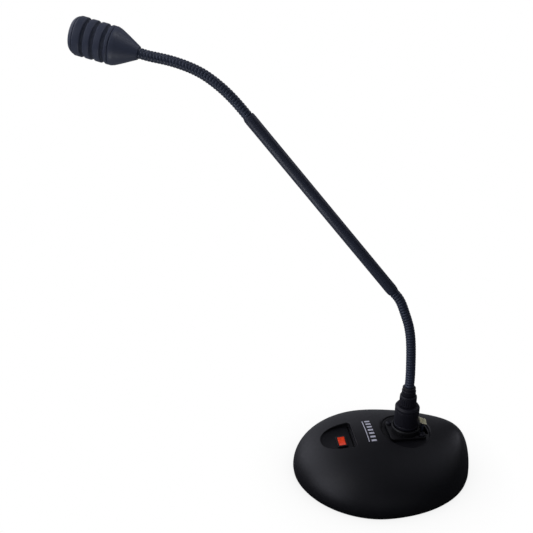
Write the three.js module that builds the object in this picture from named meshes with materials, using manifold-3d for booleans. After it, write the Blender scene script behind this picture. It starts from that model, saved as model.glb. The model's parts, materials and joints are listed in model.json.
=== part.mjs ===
// Desktop gooseneck microphone: a weighted, pebble-shaped base with a red rocker,
// a round plug-in connector, and a stem of two flexible goosenecks joined by a rigid tube.
//
// Units are millimetres, +Z is up. The origin is on the table plane under the base,
// the talker sits towards -Y, and +X is on the talker's right.

import * as THREE from 'three';
import { mergeVertices } from 'three/addons/utils/BufferGeometryUtils.js';
import { ParametricGeometry } from 'three/addons/geometries/ParametricGeometry.js';
import Module from 'manifold-3d';

const wasm = await Module();
wasm.setup();

// ---------------------------------------------------------------- shared dimensions

const GAP = 0.3;     // clearance between neighbouring pieces
const ABOVE = 60;    // height that cuts opening upwards run to, clear of the base
const AXIS_Y = 29;   // upright axis of the connector and the foot of the stem

// base dome, widest at y = 0: plan and cross-sections are half super-ellipses
const DOME = {
  halfWidth: 64.3, front: 68.4, rear: 85.8,
  frontPower: 1.91, rearPower: 2.07,                  // plan outline
  height: 41.3, crestY: 8.2, crestPower: 2.21,        // crest line, forward part
  rearSlopeDeg: 1.7, tailPower: 13.4, tailRoot: 2.23, // crest line, rear part
  sectionPower: 1.92, skirt: 4.3, skirtInset: 0.985,
};
const WALL = 2.4;
const FLOOR_WALL = 2.2;    // wall around and under the two recesses
const SKIRT_CLEAR = 0.5;   // the moulding stops just above the table

// D-shaped finger recess, its straight side to the rear and its floor rising rearwards
const POCKET = {
  y: -28.5, z: 33.3, tiltDeg: 6.34, halfWidth: 16.5, rearY: 10.3, length: 27, depth: 20,
  cornerX: 2.6, cornerY: 1.6, power: 2.3,
};
// rocker and its housing, in the pocket's frame
const ROCKER = { x: 4.2, y: 0.8, halfLength: 4.6, halfWidth: 2.9, pivotZ: -1.5, throwDeg: 9 };
const SWITCH = { bezelX: 7.0, bezelY: 4.5, bodyX: 6.0, bodyY: 3.8, depth: 11 };

// oval recess with the stem socket
const RECESS = { halfX: 23.5, halfY: 20.6, floorZ: 36.9 };
const SOCKET = {
  flangeX: 26, flangeY: 31, flangeThick: 2.2, ringR: 12.3, ringTop: 44.4,
  bodyR: 11.6, boreR: 9.8, boreBottom: 26, bottom: 18,
};
const FLANGE_SCREWS = [[-9.5, -12], [9.5, 12]];   // x, y from the stem axis

// bottom closure
const MAT = { top: 1.5, inset: 3.6 };
const PLATE = { bottom: 1.8, top: 4.4, inset: 2.8 };
const BASE_SCREWS = [[-36, -34], [36, -34], [-36, 54], [36, 54]];
const BASE_SCREW = { pillarR: 3.6, holeR: 1.8, holeTop: 14, matHoleR: 3.3 };

// output jack, low on the rear at the talker's left; seat and end are distances along its axis
const JACK = {
  x: 19.3, y: 5.69, z: 19.6, turnDeg: 35,
  bodyR: 6.5, threadR: 4.2, seatR: 7.2, bossWall: 2.5, start: 60, seat: 82, end: 85.7,
};

// ---------------------------------------------------------------- solids

const rad = THREE.MathUtils.degToRad;

// welds a closed geometry, faces it outwards and hands it to the solid modeller
function solid(geometry) {
  for (const name of Object.keys(geometry.attributes)) {
    if (name !== 'position') geometry.deleteAttribute(name);
  }
  const welded = mergeVertices(geometry, 1e-4);
  const index = welded.index.array;
  const points = welded.attributes.position;
  const tris = [];
  let volume = 0;
  for (let i = 0; i < index.length; i += 3) {
    const tri = [index[i], index[i + 1], index[i + 2]];
    if (new Set(tri).size < 3) continue;
    tris.push(...tri);
    const corners = tri.map((k) => new THREE.Vector3().fromBufferAttribute(points, k));
    volume += corners[0].dot(corners[1].cross(corners[2]));
  }
  if (volume < 0) {
    for (let i = 0; i < tris.length; i += 3) [tris[i], tris[i + 1]] = [tris[i + 1], tris[i]];
  }
  return new wasm.Manifold(new wasm.Mesh({
    numProp: 3,
    vertProperties: new Float32Array(points.array),
    triVerts: new Uint32Array(tris),
  }));
}

function geometryOf(manifold) {
  const mesh = manifold.getMesh();
  const geometry = new THREE.BufferGeometry();
  const positions = new Float32Array(mesh.vertProperties);
  geometry.setAttribute('position', new THREE.BufferAttribute(positions, 3));
  geometry.setIndex(new THREE.BufferAttribute(new Uint32Array(mesh.triVerts), 1));
  geometry.computeVertexNormals();
  return geometry;
}

// profile: [radius, z] pairs. An open profile starts and ends on the axis, a ring closes on itself.
function turned(profile, segments) {
  const points = profile.map(([radius, z]) => new THREE.Vector2(radius, z));
  if (points[0].x > 0 || points[points.length - 1].x > 0) points.push(points[0].clone());
  return solid(new THREE.LatheGeometry(points, segments).rotateX(Math.PI / 2));
}
function tube(innerR, outerR, z0, z1, segments) {
  return turned([[innerR, z0], [outerR, z0], [outerR, z1], [innerR, z1]], segments);
}
function rod(radius, z0, z1, segments, [x, y] = [0, 0]) {
  const cylinder = new THREE.CylinderGeometry(radius, radius, z1 - z0, segments);
  return solid(cylinder.rotateX(Math.PI / 2).translate(x, y, (z0 + z1) / 2));
}
// takes one rod out of the body at each [x, y] spot
function drill(body, spots, radius, z0, z1, segments) {
  return spots.reduce((rest, spot) => rest.subtract(rod(radius, z0, z1, segments, spot)), body);
}
function block(x0, x1, y0, y1, z0, z1) {
  const box = new THREE.BoxGeometry(x1 - x0, y1 - y0, z1 - z0);
  return solid(box.translate((x0 + x1) / 2, (y0 + y1) / 2, (z0 + z1) / 2));
}
function extrude(shape, depth, curveSegments = 4) {
  return new THREE.ExtrudeGeometry(shape, { depth, bevelEnabled: false, curveSegments });
}
function plate(shape, z0, z1, curveSegments) {
  return solid(extrude(shape, z1 - z0, curveSegments).translate(0, 0, z0));
}

const shapeOf = (points) => new THREE.Shape(points.map(([x, y]) => new THREE.Vector2(x, y)));

function roundedRect(halfX, halfY, corner, centreY = 0) {
  const [front, rear] = [centreY - halfY, centreY + halfY];
  const shape = new THREE.Shape();
  shape.moveTo(-halfX + corner, front);
  shape.lineTo(halfX - corner, front);
  shape.quadraticCurveTo(halfX, front, halfX, front + corner);
  shape.lineTo(halfX, rear - corner);
  shape.quadraticCurveTo(halfX, rear, halfX - corner, rear);
  shape.lineTo(-halfX + corner, rear);
  shape.quadraticCurveTo(-halfX, rear, -halfX, rear - corner);
  shape.lineTo(-halfX, front + corner);
  shape.quadraticCurveTo(-halfX, front, -halfX + corner, front);
  return shape;
}
function ellipse(halfX, halfY, centreY, sides) {
  return shapeOf(Array.from({ length: sides }, (_, i) => {
    const angle = 2 * Math.PI * i / sides;
    return [halfX * Math.cos(angle), centreY + halfY * Math.sin(angle)];
  }));
}

// ---------------------------------------------------------------- materials and scene graph

const FINISH = {
  shell: { color: 0x1c1c20, roughness: 0.5, metalness: 0.0 },
  darkPlastic: { color: 0x131318, roughness: 0.55, metalness: 0.0 },
  connector: { color: 0x17171d, roughness: 0.42, metalness: 0.0 },
  blackMetal: { color: 0x23252b, roughness: 0.4, metalness: 0.6 },
  headMetal: { color: 0x2b2e35, roughness: 0.5, metalness: 0.4 },
  steel: { color: 0xa9abad, roughness: 0.35, metalness: 1.0 },
  zinc: { color: 0x8d8f92, roughness: 0.45, metalness: 0.9 },
  brass: { color: 0xb09a62, roughness: 0.35, metalness: 1.0 },
  rubber: { color: 0x101012, roughness: 0.9, metalness: 0.0 },
  red: { color: 0xbe2f14, roughness: 0.3, metalness: 0.0 },
  board: { color: 0x1f5b35, roughness: 0.6, metalness: 0.0 },
  foam: { color: 0x18181a, roughness: 1.0, metalness: 0.0 },
};

function piece(parent, name, manifold, finish, [x, y] = [0, 0]) {
  const material = new THREE.MeshStandardMaterial(FINISH[finish]);
  const mesh = new THREE.Mesh(geometryOf(manifold), material);
  mesh.name = name;
  mesh.position.set(x, y, 0);
  parent.add(mesh);
  return mesh;
}
function groupIn(parent) {
  const group = new THREE.Group();
  parent.add(group);
  return group;
}

const model = new THREE.Group();
const base = groupIn(model);

// ---------------------------------------------------------------- base dome

// falls from 1 to 0 as t goes from 0 to 1
const falloff = (t, power, root = power) => (
  Math.pow(Math.max(0, 1 - Math.pow(t, power)), 1 / root)
);
const signedPower = (value, power) => Math.sign(value) * Math.pow(Math.abs(value), power);

// t runs from -1 at the front to 1 at the rear; offset shrinks the dome inwards
const planY = (t, offset) => t * ((t < 0 ? DOME.front : DOME.rear) - offset);
const planHalfWidth = (t, offset) => (
  (DOME.halfWidth - offset) * falloff(Math.abs(t), t < 0 ? DOME.frontPower : DOME.rearPower)
);

function crestHeight(y, offset) {
  const ahead = (DOME.crestY - y) / (DOME.crestY + DOME.front - offset);
  let rise = DOME.height - offset - DOME.skirt;
  rise *= falloff(Math.min(1, Math.max(0, ahead)), DOME.crestPower);
  if (y > DOME.crestY) {
    const behind = Math.min(1, (y - DOME.crestY) / (DOME.rear - offset - DOME.crestY));
    rise -= Math.tan(rad(DOME.rearSlopeDeg)) * (y - DOME.crestY);
    rise *= falloff(behind, DOME.tailPower, DOME.tailRoot);
  }
  return DOME.skirt + rise;
}

// each station is a loop: an arc from right to left, then two corners at the bottom
function dome({ offset, bottom, inset, stations, arcs }) {
  const loop = arcs + 3;
  const power = 2 / DOME.sectionPower;
  const surface = (u, v, target) => {
    const k = Math.round(u * loop) % loop;
    const t = -Math.cos(Math.PI * v);
    const y = planY(t, offset);
    const width = planHalfWidth(t, offset);
    if (k > arcs) {
      target.set(k === arcs + 1 ? -width * inset : width * inset, y * inset, bottom);
      return;
    }
    const angle = Math.PI * k / arcs;
    const sine = Math.sin(angle);
    const lift = Math.pow(Math.abs(sine) < 1e-9 ? 0 : sine, power);
    target.set(
      k === arcs / 2 ? 0 : width * signedPower(Math.cos(angle), power),
      y,
      DOME.skirt + (crestHeight(y, offset) - DOME.skirt) * lift,
    );
  };
  return solid(new ParametricGeometry(surface, loop, stations));
}

function planShape(offset, sides = 44) {
  return shapeOf(Array.from({ length: sides }, (_, i) => {
    const angle = 2 * Math.PI * i / sides;
    const t = Math.sin(angle);
    const width = planHalfWidth(t, offset);
    return [Math.cos(angle) >= 0 ? width : -width, planY(t, offset)];
  }));
}

// D-shaped prism square to the pocket floor
function pocketPrism(grow, z0, steps = 22) {
  const halfWidth = POCKET.halfWidth + grow;
  const cornerX = halfWidth - POCKET.cornerX;
  const cornerY = POCKET.rearY + grow + POCKET.cornerY;
  const points = [
    [-halfWidth, POCKET.rearY], [-cornerX, cornerY], [cornerX, cornerY], [halfWidth, POCKET.rearY],
  ];
  for (let i = 1; i < steps; i++) {
    const angle = Math.PI * i / steps;
    points.push([
      halfWidth * signedPower(Math.cos(angle), 2 / POCKET.power),
      POCKET.rearY - (POCKET.length + grow) * Math.pow(Math.sin(angle), 2 / POCKET.power),
    ]);
  }
  const prism = extrude(shapeOf(points.reverse()), POCKET.depth - z0);
  return solid(toPocket(prism.translate(0, 0, z0)));
}
function toPocket(geometry, x = 0) {
  return geometry.rotateX(rad(POCKET.tiltDeg)).translate(x, POCKET.y, POCKET.z);
}
function recessPrism(grow) {
  const shape = ellipse(RECESS.halfX + grow, RECESS.halfY + grow, AXIS_Y, 36);
  return plate(shape, RECESS.floorZ - grow, ABOVE);
}
function jackRod(radius, start, end, segments) {
  const along = new THREE.CylinderGeometry(radius, radius, end - start, segments)
    .translate(0, (start + end) / 2, 0);
  return solid(along.rotateZ(rad(JACK.turnDeg)).translate(JACK.x, JACK.y, JACK.z));
}

// the space inside the cover, less the recess walls, screw pillars and jack boss
function coverHollow() {
  const inside = dome({ offset: WALL, bottom: -2, inset: 1, stations: 20, arcs: 12 })
    .subtract(pocketPrism(FLOOR_WALL, -FLOOR_WALL))
    .subtract(recessPrism(FLOOR_WALL));
  return drill(inside, BASE_SCREWS, BASE_SCREW.pillarR, PLATE.top + GAP, ABOVE, 14)
    .subtract(jackRod(JACK.seatR + JACK.bossWall, 76, 86, 24));
}

function baseCover() {
  const outer = dome({
    offset: 0, bottom: 0, inset: DOME.skirtInset, stations: 28, arcs: 18,
  });
  const switchHole = new THREE.BoxGeometry(2 * (SWITCH.bodyX + GAP), 2 * (SWITCH.bodyY + GAP), 12)
    .translate(0, ROCKER.y, 0);
  const flangeHoles = FLANGE_SCREWS.map(([x, y]) => [x, AXIS_Y + y]);

  let cover = outer.subtract(coverHollow())
    .subtract(pocketPrism(0, 0))
    .subtract(recessPrism(0))
    .subtract(solid(toPocket(switchHole, ROCKER.x)))
    .subtract(rod(SOCKET.bodyR + GAP, 30, ABOVE, 40, [0, AXIS_Y]));
  cover = drill(cover, flangeHoles, 1.5, 30, 40, 12);
  // slot for the leg of the release tab
  cover = cover.subtract(block(-5.3, 5.3, AXIS_Y + 12.5, AXIS_Y + 19.4, 30, 40));
  cover = drill(cover, BASE_SCREWS, BASE_SCREW.holeR, 0, BASE_SCREW.holeTop, 14);
  return cover
    .subtract(jackRod(JACK.threadR + GAP, 60, 100, 24))
    .subtract(jackRod(JACK.seatR, JACK.seat, 102, 28))
    .subtract(block(-100, 100, -100, 100, -5, SKIRT_CLEAR));
}
piece(base, 'base_cover', baseCover(), 'shell');

// ---------------------------------------------------------------- bottom closure

const bottomPlate = plate(planShape(PLATE.inset), PLATE.bottom, PLATE.top);
piece(base, 'base_plate', drill(bottomPlate, BASE_SCREWS, BASE_SCREW.holeR, 0, 8, 14), 'steel');

const matSheet = plate(planShape(MAT.inset), 0, MAT.top);
piece(base, 'anti_slip_mat', drill(matSheet, BASE_SCREWS, BASE_SCREW.matHoleR, -2, 4, 18), 'rubber');

const BALLAST = { halfX: 31, halfY: 31, y: 27, corner: 6, z0: 4.7, z1: 12.8 };
const ballastShape = roundedRect(BALLAST.halfX, BALLAST.halfY, BALLAST.corner, BALLAST.y);
piece(base, 'ballast_weight', plate(ballastShape, BALLAST.z0, BALLAST.z1), 'zinc');

const baseScrew = turned([
  [0, 0.2], [2.2, 0.2], [2.8, 0.6], [2.8, 1.5], [1.45, 1.5], [1.45, 13.2], [0, 13.6],
], 14);
BASE_SCREWS.forEach((spot, i) => piece(base, `base_screw_${i + 1}`, baseScrew, 'steel', spot));

// ---------------------------------------------------------------- circuit board on standoffs

const BOARD = { z: 12, thick: 1.6, y0: -56, y1: -10, halfX: 24, domeInset: 14, holeR: 1.6 };
const BOARD_SCREWS = [[-19, -45], [19, -45], [0, -13]];
const boardTop = BOARD.z + BOARD.thick;

function circuitBoard() {
  const sheet = block(-BOARD.halfX, BOARD.halfX, BOARD.y0, BOARD.y1, BOARD.z, boardTop);
  return drill(sheet, BOARD_SCREWS, BOARD.holeR, 8, 18, 14)
    .intersect(plate(planShape(BOARD.domeInset), 0, 30));
}
piece(base, 'circuit_board', circuitBoard(), 'board');

const standoff = tube(1.6, 2.8, PLATE.top + GAP, BOARD.z - GAP, 14);
const boardScrew = turned([
  [0, 7], [1.25, 7], [1.25, boardTop + GAP], [2.5, boardTop + GAP],
  [2.5, boardTop + 1.3], [1.8, boardTop + 1.8], [0, boardTop + 1.8],
], 14);
BOARD_SCREWS.forEach((spot, i) => {
  piece(base, `board_standoff_${i + 1}`, standoff, 'brass', spot);
  piece(base, `board_screw_${i + 1}`, boardScrew, 'steel', spot);
});

// ---------------------------------------------------------------- rocker switch

const PIVOT = { pinR: 0.7, pinLength: 7, holeR: 1.0, holeLength: 9 };
const TERMINAL = { x: 3.6, halfThick: 0.4, halfWidth: 2.4, bottom: -17.5 };

// the switch is built square to the pocket floor
const pocketTurn = new THREE.Euler(rad(POCKET.tiltDeg), 0, 0);
const inPocket = (x, y, z) => new THREE.Vector3(x, y, z)
  .applyEuler(pocketTurn)
  .add(new THREE.Vector3(0, POCKET.y, POCKET.z));
const switchGroup = groupIn(base);
switchGroup.position.copy(inPocket(ROCKER.x, ROCKER.y, 0));
switchGroup.rotation.copy(pocketTurn);

// cylinder lying along Y on the rocker's pivot
function pivotRod(radius, length) {
  const cylinder = new THREE.CylinderGeometry(radius, radius, length, 14);
  return solid(cylinder.translate(0, 0, ROCKER.pivotZ));
}

function switchHousing() {
  const { bezelX, bezelY, bodyX, bodyY, depth } = SWITCH;
  const openX = ROCKER.halfLength + 0.85;
  const openY = ROCKER.halfWidth + GAP;
  return plate(roundedRect(bezelX, bezelY, 0.8), GAP, 1.2, 3)
    .add(block(-bodyX, bodyX, -bodyY, bodyY, -depth, 0.6))
    .subtract(block(-openX, openX, -openY, openY, -6, 3))
    .subtract(pivotRod(PIVOT.holeR, PIVOT.holeLength));
}
piece(switchGroup, 'switch_housing', switchHousing(), 'darkPlastic');

function rockerCap() {
  const { halfLength, halfWidth, pivotZ } = ROCKER;
  // side outline: x, z
  const outline = shapeOf([
    [-halfLength, 2.0], [-halfLength, -1.2], [-2.4, -3.5], [2.4, -3.5], [halfLength, -1.2],
    [halfLength, 2.0], [2.4, 1.25], [0, 0.95], [-2.4, 1.25],
  ]);
  const body = extrude(outline, 2 * halfWidth).translate(0, 0, -halfWidth).rotateX(Math.PI / 2);
  return solid(body)
    .add(pivotRod(PIVOT.pinR, PIVOT.pinLength))
    .translate([0, 0, -pivotZ]);
}
const cap = piece(switchGroup, 'rocker_cap', rockerCap(), 'red');
cap.position.z = ROCKER.pivotZ;
cap.rotation.y = rad(ROCKER.throwDeg);   // rests with the talker's right side pressed in

const { halfThick, halfWidth: bladeHalf, bottom: bladeBottom } = TERMINAL;
const blade = block(-halfThick, halfThick, -bladeHalf, bladeHalf, bladeBottom, -SWITCH.depth - GAP);
[-TERMINAL.x, TERMINAL.x].forEach((x, i) => {
  piece(switchGroup, `switch_terminal_${i + 1}`, blade, 'brass', [x, 0]);
});

// ---------------------------------------------------------------- stem socket

const PIN_CIRCLE_R = 4.2;
const PIN_SPOTS = [90, 210, 330].map((degrees) => (
  [PIN_CIRCLE_R * Math.cos(rad(degrees)), PIN_CIRCLE_R * Math.sin(rad(degrees))]
));
const flangeZ = RECESS.floorZ + GAP;
const flangeTop = flangeZ + SOCKET.flangeThick;

const stemBase = groupIn(base);
stemBase.position.set(0, AXIS_Y, 0);

function socketBody() {
  const { bodyR, ringR, ringTop, boreR, bottom } = SOCKET;
  let body = plate(roundedRect(SOCKET.flangeX / 2, SOCKET.flangeY / 2, 3), flangeZ, flangeTop)
    .add(turned([
      [0, bottom], [bodyR - 0.6, bottom], [bodyR, bottom + 0.6], [bodyR, flangeZ + 0.4],
      [ringR, flangeZ + 0.4], [ringR, ringTop - 0.8], [ringR - 0.8, ringTop], [0, ringTop],
    ], 28))
    .subtract(rod(boreR, SOCKET.boreBottom, ABOVE, 28))
    .subtract(rod(boreR + 1.0, 43.2, ABOVE, 28));
  body = drill(body, FLANGE_SCREWS, 1.7, 30, 45, 14);
  // slot for the leg of the release tab
  body = body.subtract(block(-5, 5, 12.3, 19, 30, 43));
  return drill(body, PIN_SPOTS, 1.1, 10, 30, 12);
}
piece(stemBase, 'socket_body', socketBody(), 'darkPlastic');

const socketInsert = rod(7.5, SOCKET.boreBottom + GAP, 43, 18);
piece(stemBase, 'socket_insert', drill(socketInsert, PIN_SPOTS, 2.2, 20, 50, 14), 'rubber');

// solid tail below, open sleeve above
const socketContact = turned([
  [0, 13.5], [0.75, 13.5], [0.75, 27.2], [1.85, 27.2],
  [1.85, 42.4], [1.25, 42.4], [1.25, 29], [0, 29],
], 10);
PIN_SPOTS.forEach((spot, i) => {
  piece(stemBase, `socket_contact_${i + 1}`, socketContact, 'brass', spot);
});

const flangeHeadZ = flangeTop + GAP;
const flangeScrew = turned([
  [0, 29], [1.15, 29.4], [1.15, flangeHeadZ], [2.6, flangeHeadZ],
  [2.6, flangeHeadZ + 0.9], [1.6, flangeHeadZ + 1.5], [0, flangeHeadZ + 1.5],
], 14);
FLANGE_SCREWS.forEach((spot, i) => {
  piece(stemBase, `flange_screw_${i + 1}`, flangeScrew, 'blackMetal', spot);
});

// release tab behind the plug: a thumb plate sloping down to the rear, on an upright leg,
// turned a little towards the talker's right
const LATCH = {
  turnDeg: 10, left: -5.2, right: 2.4, thick: 1.7,
  y0: 11.3, z0: 50.2, y1: 17.6, z1: 48.0,             // top face, front and rear edges
  grooves: [12.6, 14.1, 15.6, 17.0], grooveHalf: 0.3, grooveDepth: 0.45,
};
const latchGroup = groupIn(stemBase);
latchGroup.rotation.z = -rad(LATCH.turnDeg);

function releaseTab() {
  const { left, right, thick, y0, z0, y1, z1, grooveHalf, grooveDepth } = LATCH;
  // side outline: y, z
  const outline = shapeOf([[y0, z0 - thick], [y1, z1 - thick], [y1, z1], [y0, z0]]);
  const outlineToYZ = new THREE.Matrix4().set(
    0, 0, 1, left,
    1, 0, 0, 0,
    0, 1, 0, 0,
    0, 0, 0, 1,
  );
  let tab = solid(extrude(outline, right - left).applyMatrix4(outlineToYZ))
    .add(block(-4.4, 1.0, 13.2, 15.4, 36, 48.4));
  for (const y of LATCH.grooves) {
    const z = z0 + (z1 - z0) / (y1 - y0) * (y - y0);
    tab = tab.subtract(block(-9, 9, y - grooveHalf, y + grooveHalf, z - grooveDepth, z + 2));
  }
  return tab;
}
piece(latchGroup, 'release_tab', releaseTab(), 'brass');

// ---------------------------------------------------------------- stem dimensions

const SWING_DEG = 14.25;   // the stem's upright plane turns this much to the talker's left
const COIL_R = 4.0;        // outside radius of the wound gooseneck
const COIL_CORE = 2.2;     // radius of the cable way
const STUB_R = 3.5;
const STUB = 6.5;          // length of gooseneck held in each end fitting
const END_SLOPE = 0.25;    // cone at each link's end, room for the bend
const TUBE_R = 4.7;
const LINKS = 6;           // links in each gooseneck
const HEAD_TILT_DEG = 14.6;

// centre lines of the goosenecks: distance from the stem axis towards the talker, z
const LOWER = [
  [0, 83.2], [0, 91], [0.3, 99.2], [0.8, 108.7], [1.5, 118.2], [2.5, 127.6],
  [4.1, 136.6], [6.6, 145.4], [9.8, 153.7], [14.2, 162.2], [19.4, 169.9],
];
const UPPER = [
  [135.7, 306.6], [140, 312], [145.1, 317.5], [155.7, 327.3], [167.5, 335.8],
  [180.6, 341.8], [194.5, 345.8], [205, 348.15], [216.1, 350.5],
];

const endCone = (radius) => 0.2 + END_SLOPE * radius;   // link end's distance from its joint
// profile points of the stubs at the foot (z = 0) and top of a fitting
const footStub = [
  [COIL_CORE, -STUB + endCone(COIL_CORE)], [STUB_R, -STUB + endCone(STUB_R)], [STUB_R, 0],
];
const topStub = (z) => [
  [STUB_R, z], [STUB_R, z + STUB - endCone(STUB_R)], [COIL_CORE, z + STUB - endCone(COIL_CORE)],
];

// ---------------------------------------------------------------- plug on the foot of the stem

const PLUG = { shellR: 10.4, shellTop: 65, barrelR: 9.4, barrelBottom: 30, barrelWall: 1.4 };
const NUT = { r: 7.2, top: 75 };
const RELIEF = { r: 5.5, top: LOWER[0][1] };

function plugShell() {
  const { shellR, shellTop, barrelR, barrelBottom } = PLUG;
  const innerR = barrelR - PLUG.barrelWall;
  const step = SOCKET.ringTop + 0.4;
  return turned([
    [innerR, barrelBottom], [barrelR, barrelBottom], [barrelR, step],
    [shellR - 0.4, step], [shellR, step + 0.5], [shellR, shellTop - 1.6], [shellR - 1.4, shellTop],
    [3.2, shellTop], [3.2, shellTop - 3], [6.4, shellTop - 3.4], [6.4, 50.3], [innerR, 50.3],
  ], 28);
}
piece(stemBase, 'plug_shell', plugShell(), 'connector');

const plugInsert = rod(PLUG.barrelR - PLUG.barrelWall - GAP, 44.3, 50, 18);
piece(stemBase, 'plug_insert', drill(plugInsert, PIN_SPOTS, 1.25, 40, 55, 12), 'rubber');

const plugPin = turned([[0, 31], [0.6, 31.2], [0.9, 32], [0.9, 53], [0, 53]], 12);
PIN_SPOTS.forEach((spot, i) => piece(stemBase, `plug_pin_${i + 1}`, plugPin, 'steel', spot));

piece(stemBase, 'gland_nut', turned([
  [3.2, PLUG.shellTop + GAP], [NUT.r, PLUG.shellTop + GAP],
  [NUT.r, NUT.top - 1], [NUT.r - 0.9, NUT.top], [3.2, NUT.top],
], 20), 'connector');

piece(stemBase, 'strain_relief', turned([
  [COIL_CORE, NUT.top + GAP], [RELIEF.r + 0.4, NUT.top + GAP], [RELIEF.r + 0.4, RELIEF.top - 3.4],
  [RELIEF.r, RELIEF.top - 0.8], [RELIEF.r - 0.8, RELIEF.top], ...topStub(RELIEF.top),
], 18), 'connector');

// ---------------------------------------------------------------- stem path

const swing = rad(SWING_DEG);
const up = new THREE.Vector3(0, 0, 1);
const planeDir = new THREE.Vector3(-Math.sin(swing), -Math.cos(swing), 0);     // to the talker
const planeNormal = new THREE.Vector3(Math.cos(swing), -Math.sin(swing), 0);   // fore-and-aft hinge
const onPlane = ([reach, z]) => new THREE.Vector3(0, AXIS_Y, z).addScaledVector(planeDir, reach);

const tubeStart = onPlane(LOWER[LOWER.length - 1]);
const tubeEnd = onPlane(UPPER[0]);
const tubeDir = tubeEnd.clone().sub(tubeStart).normalize();
const tubeLength = tubeEnd.distanceTo(tubeStart);
const headStart = onPlane(UPPER[UPPER.length - 1]);
const headDir = planeDir.clone()
  .multiplyScalar(Math.cos(rad(HEAD_TILT_DEG)))
  .addScaledVector(up, Math.sin(rad(HEAD_TILT_DEG)));

// joint centres along a gooseneck: the first and last lie on the end fittings' own axes
function jointCentres(points, startDir, endDir) {
  const curve = new THREE.CatmullRomCurve3(points.map(onPlane), false, 'centripetal');
  const length = curve.getLength();
  const centres = [curve.getPointAt(0).addScaledVector(startDir, STUB)];
  for (let i = 1; i < LINKS; i++) {
    centres.push(curve.getPointAt((STUB + (length - 2 * STUB) * i / LINKS) / length));
  }
  centres.push(curve.getPointAt(1).addScaledVector(endDir, -STUB));
  return centres;
}
const lowerCentres = jointCentres(LOWER, up, tubeDir);
const upperCentres = jointCentres(UPPER, tubeDir, headDir);

// group with local Z along the direction and local X along the fore-and-aft hinge
function frameAt(origin, direction) {
  const group = groupIn(model);
  const localY = new THREE.Vector3().crossVectors(direction, planeNormal);
  const turn = new THREE.Matrix4().makeBasis(planeNormal, localY, direction);
  group.position.copy(origin);
  group.quaternion.setFromRotationMatrix(turn);
  return group;
}

// ---------------------------------------------------------------- goosenecks and tube

const joints = [];

// short wound links, bending fore-and-aft and sideways in turn
function gooseneck(prefix, centres, parent, child) {
  for (let i = 0; i < LINKS; i++) {
    const [start, end] = [centres[i], centres[i + 1]];
    const length = start.distanceTo(end);
    const frame = frameAt(start, end.clone().sub(start).normalize());
    piece(frame, `${prefix}_link_${i + 1}`, turned([
      [COIL_CORE, endCone(COIL_CORE)], [COIL_R, endCone(COIL_R)],
      [COIL_R, length - endCone(COIL_R)], [COIL_CORE, length - endCone(COIL_CORE)],
    ], 14), 'blackMetal');
  }
  for (let i = 0; i <= LINKS; i++) {
    const before = centres[Math.max(0, i - 1)];
    const after = centres[Math.min(LINKS, i + 1)];
    const along = after.clone().sub(before).normalize();
    const side = i % 2 === 1;
    const axis = side ? new THREE.Vector3().crossVectors(along, planeNormal) : planeNormal;
    joints.push({
      name: `${prefix}_${side ? 'side' : 'bend'}_${(i >> 1) + 1}`,
      side,
      at: centres[i].toArray(),
      axis: axis.toArray(),
      parent: i ? `${prefix}_link_${i}` : parent,
      child: i < LINKS ? `${prefix}_link_${i + 1}` : child,
    });
  }
}
gooseneck('lower', lowerCentres, 'stem_plug', 'stem_tube');
gooseneck('upper', upperCentres, 'stem_tube', 'head');

// rigid tube between the goosenecks
const tubeGroup = frameAt(tubeStart, tubeDir);
piece(tubeGroup, 'stem_tube', turned([
  ...footStub, [TUBE_R - 0.5, 0], [TUBE_R, 1.6],
  [TUBE_R, tubeLength - 1.6], [TUBE_R - 0.5, tubeLength], ...topStub(tubeLength),
  [COIL_CORE, tubeLength - 8], [3.4, tubeLength - 9], [3.4, 9], [COIL_CORE, 8],
], 20), 'blackMetal');
piece(tubeGroup, 'signal_cable', rod(1.5, -4, tubeLength + 4, 12), 'rubber');

// ---------------------------------------------------------------- microphone head

// z is measured from the tip of the rear cone along the head's axis
const HEAD = {
  r: 14.2, frontR: 14.35, grooveR: 13.0, innerR: 11.3,
  coneR0: 5.2, coneR1: 9.6, coneR2: 13.3, coneEnd: 18.2,
  seam: 19.6, cageEnd: 46.4, front: 52.4,
};
// grooves around the cage: start z, end z, radius of the band that follows
const CAGE_GROOVES = [[22.6, 25.2, HEAD.r], [30.4, 33, HEAD.r], [38, 40.4, HEAD.frontR]];

const head = frameAt(headStart, headDir);

function rearCone() {
  const { r, coneR0, coneR1, coneR2, coneEnd } = HEAD;
  const rim = HEAD.seam - GAP / 2;
  return turned([
    ...footStub, [coneR0 - 0.5, 0], [coneR0, 0.5],
    [coneR1, 8.6], [coneR2, 15.8], [r - 0.1, coneEnd], [r - 0.1, rim],
    [r - 1.9, rim], [r - 2.0, coneEnd], [7.6, 8.8], [COIL_CORE, 5.5],
  ], 24);
}
piece(head, 'head_rear_cone', rearCone(), 'headMetal');

function headCage() {
  const { r, frontR, grooveR, innerR, cageEnd } = HEAD;
  const start = HEAD.seam + GAP / 2;
  const grooves = CAGE_GROOVES.flatMap(([z0, z1, nextR]) => [
    [r, z0 - 0.3], [r - 0.3, z0], [grooveR, z0], [grooveR, z1], [r - 0.3, z1], [nextR, z1 + 0.3],
  ]);
  return turned([
    [innerR, start], [r, start], ...grooves,
    [frontR, cageEnd - 0.4], [frontR - 0.4, cageEnd], [innerR, cageEnd],
  ], 24);
}
piece(head, 'head_cage', headCage(), 'headMetal');

function frontGrille() {
  const { front } = HEAD;
  const rear = HEAD.cageEnd + GAP;
  return turned([
    [0, front], [5.2, front - 0.3], [9.0, front - 1.2], [11.2, front - 2.4], [12.7, front - 3.6],
    [13.7, rear + 0.5], [13.7, rear], [11.6, rear],
    [10.4, front - 3.9], [8.4, front - 2.8], [5, front - 1.9], [0, front - 1.6],
  ], 24);
}
piece(head, 'front_grille', frontGrille(), 'headMetal');

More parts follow.
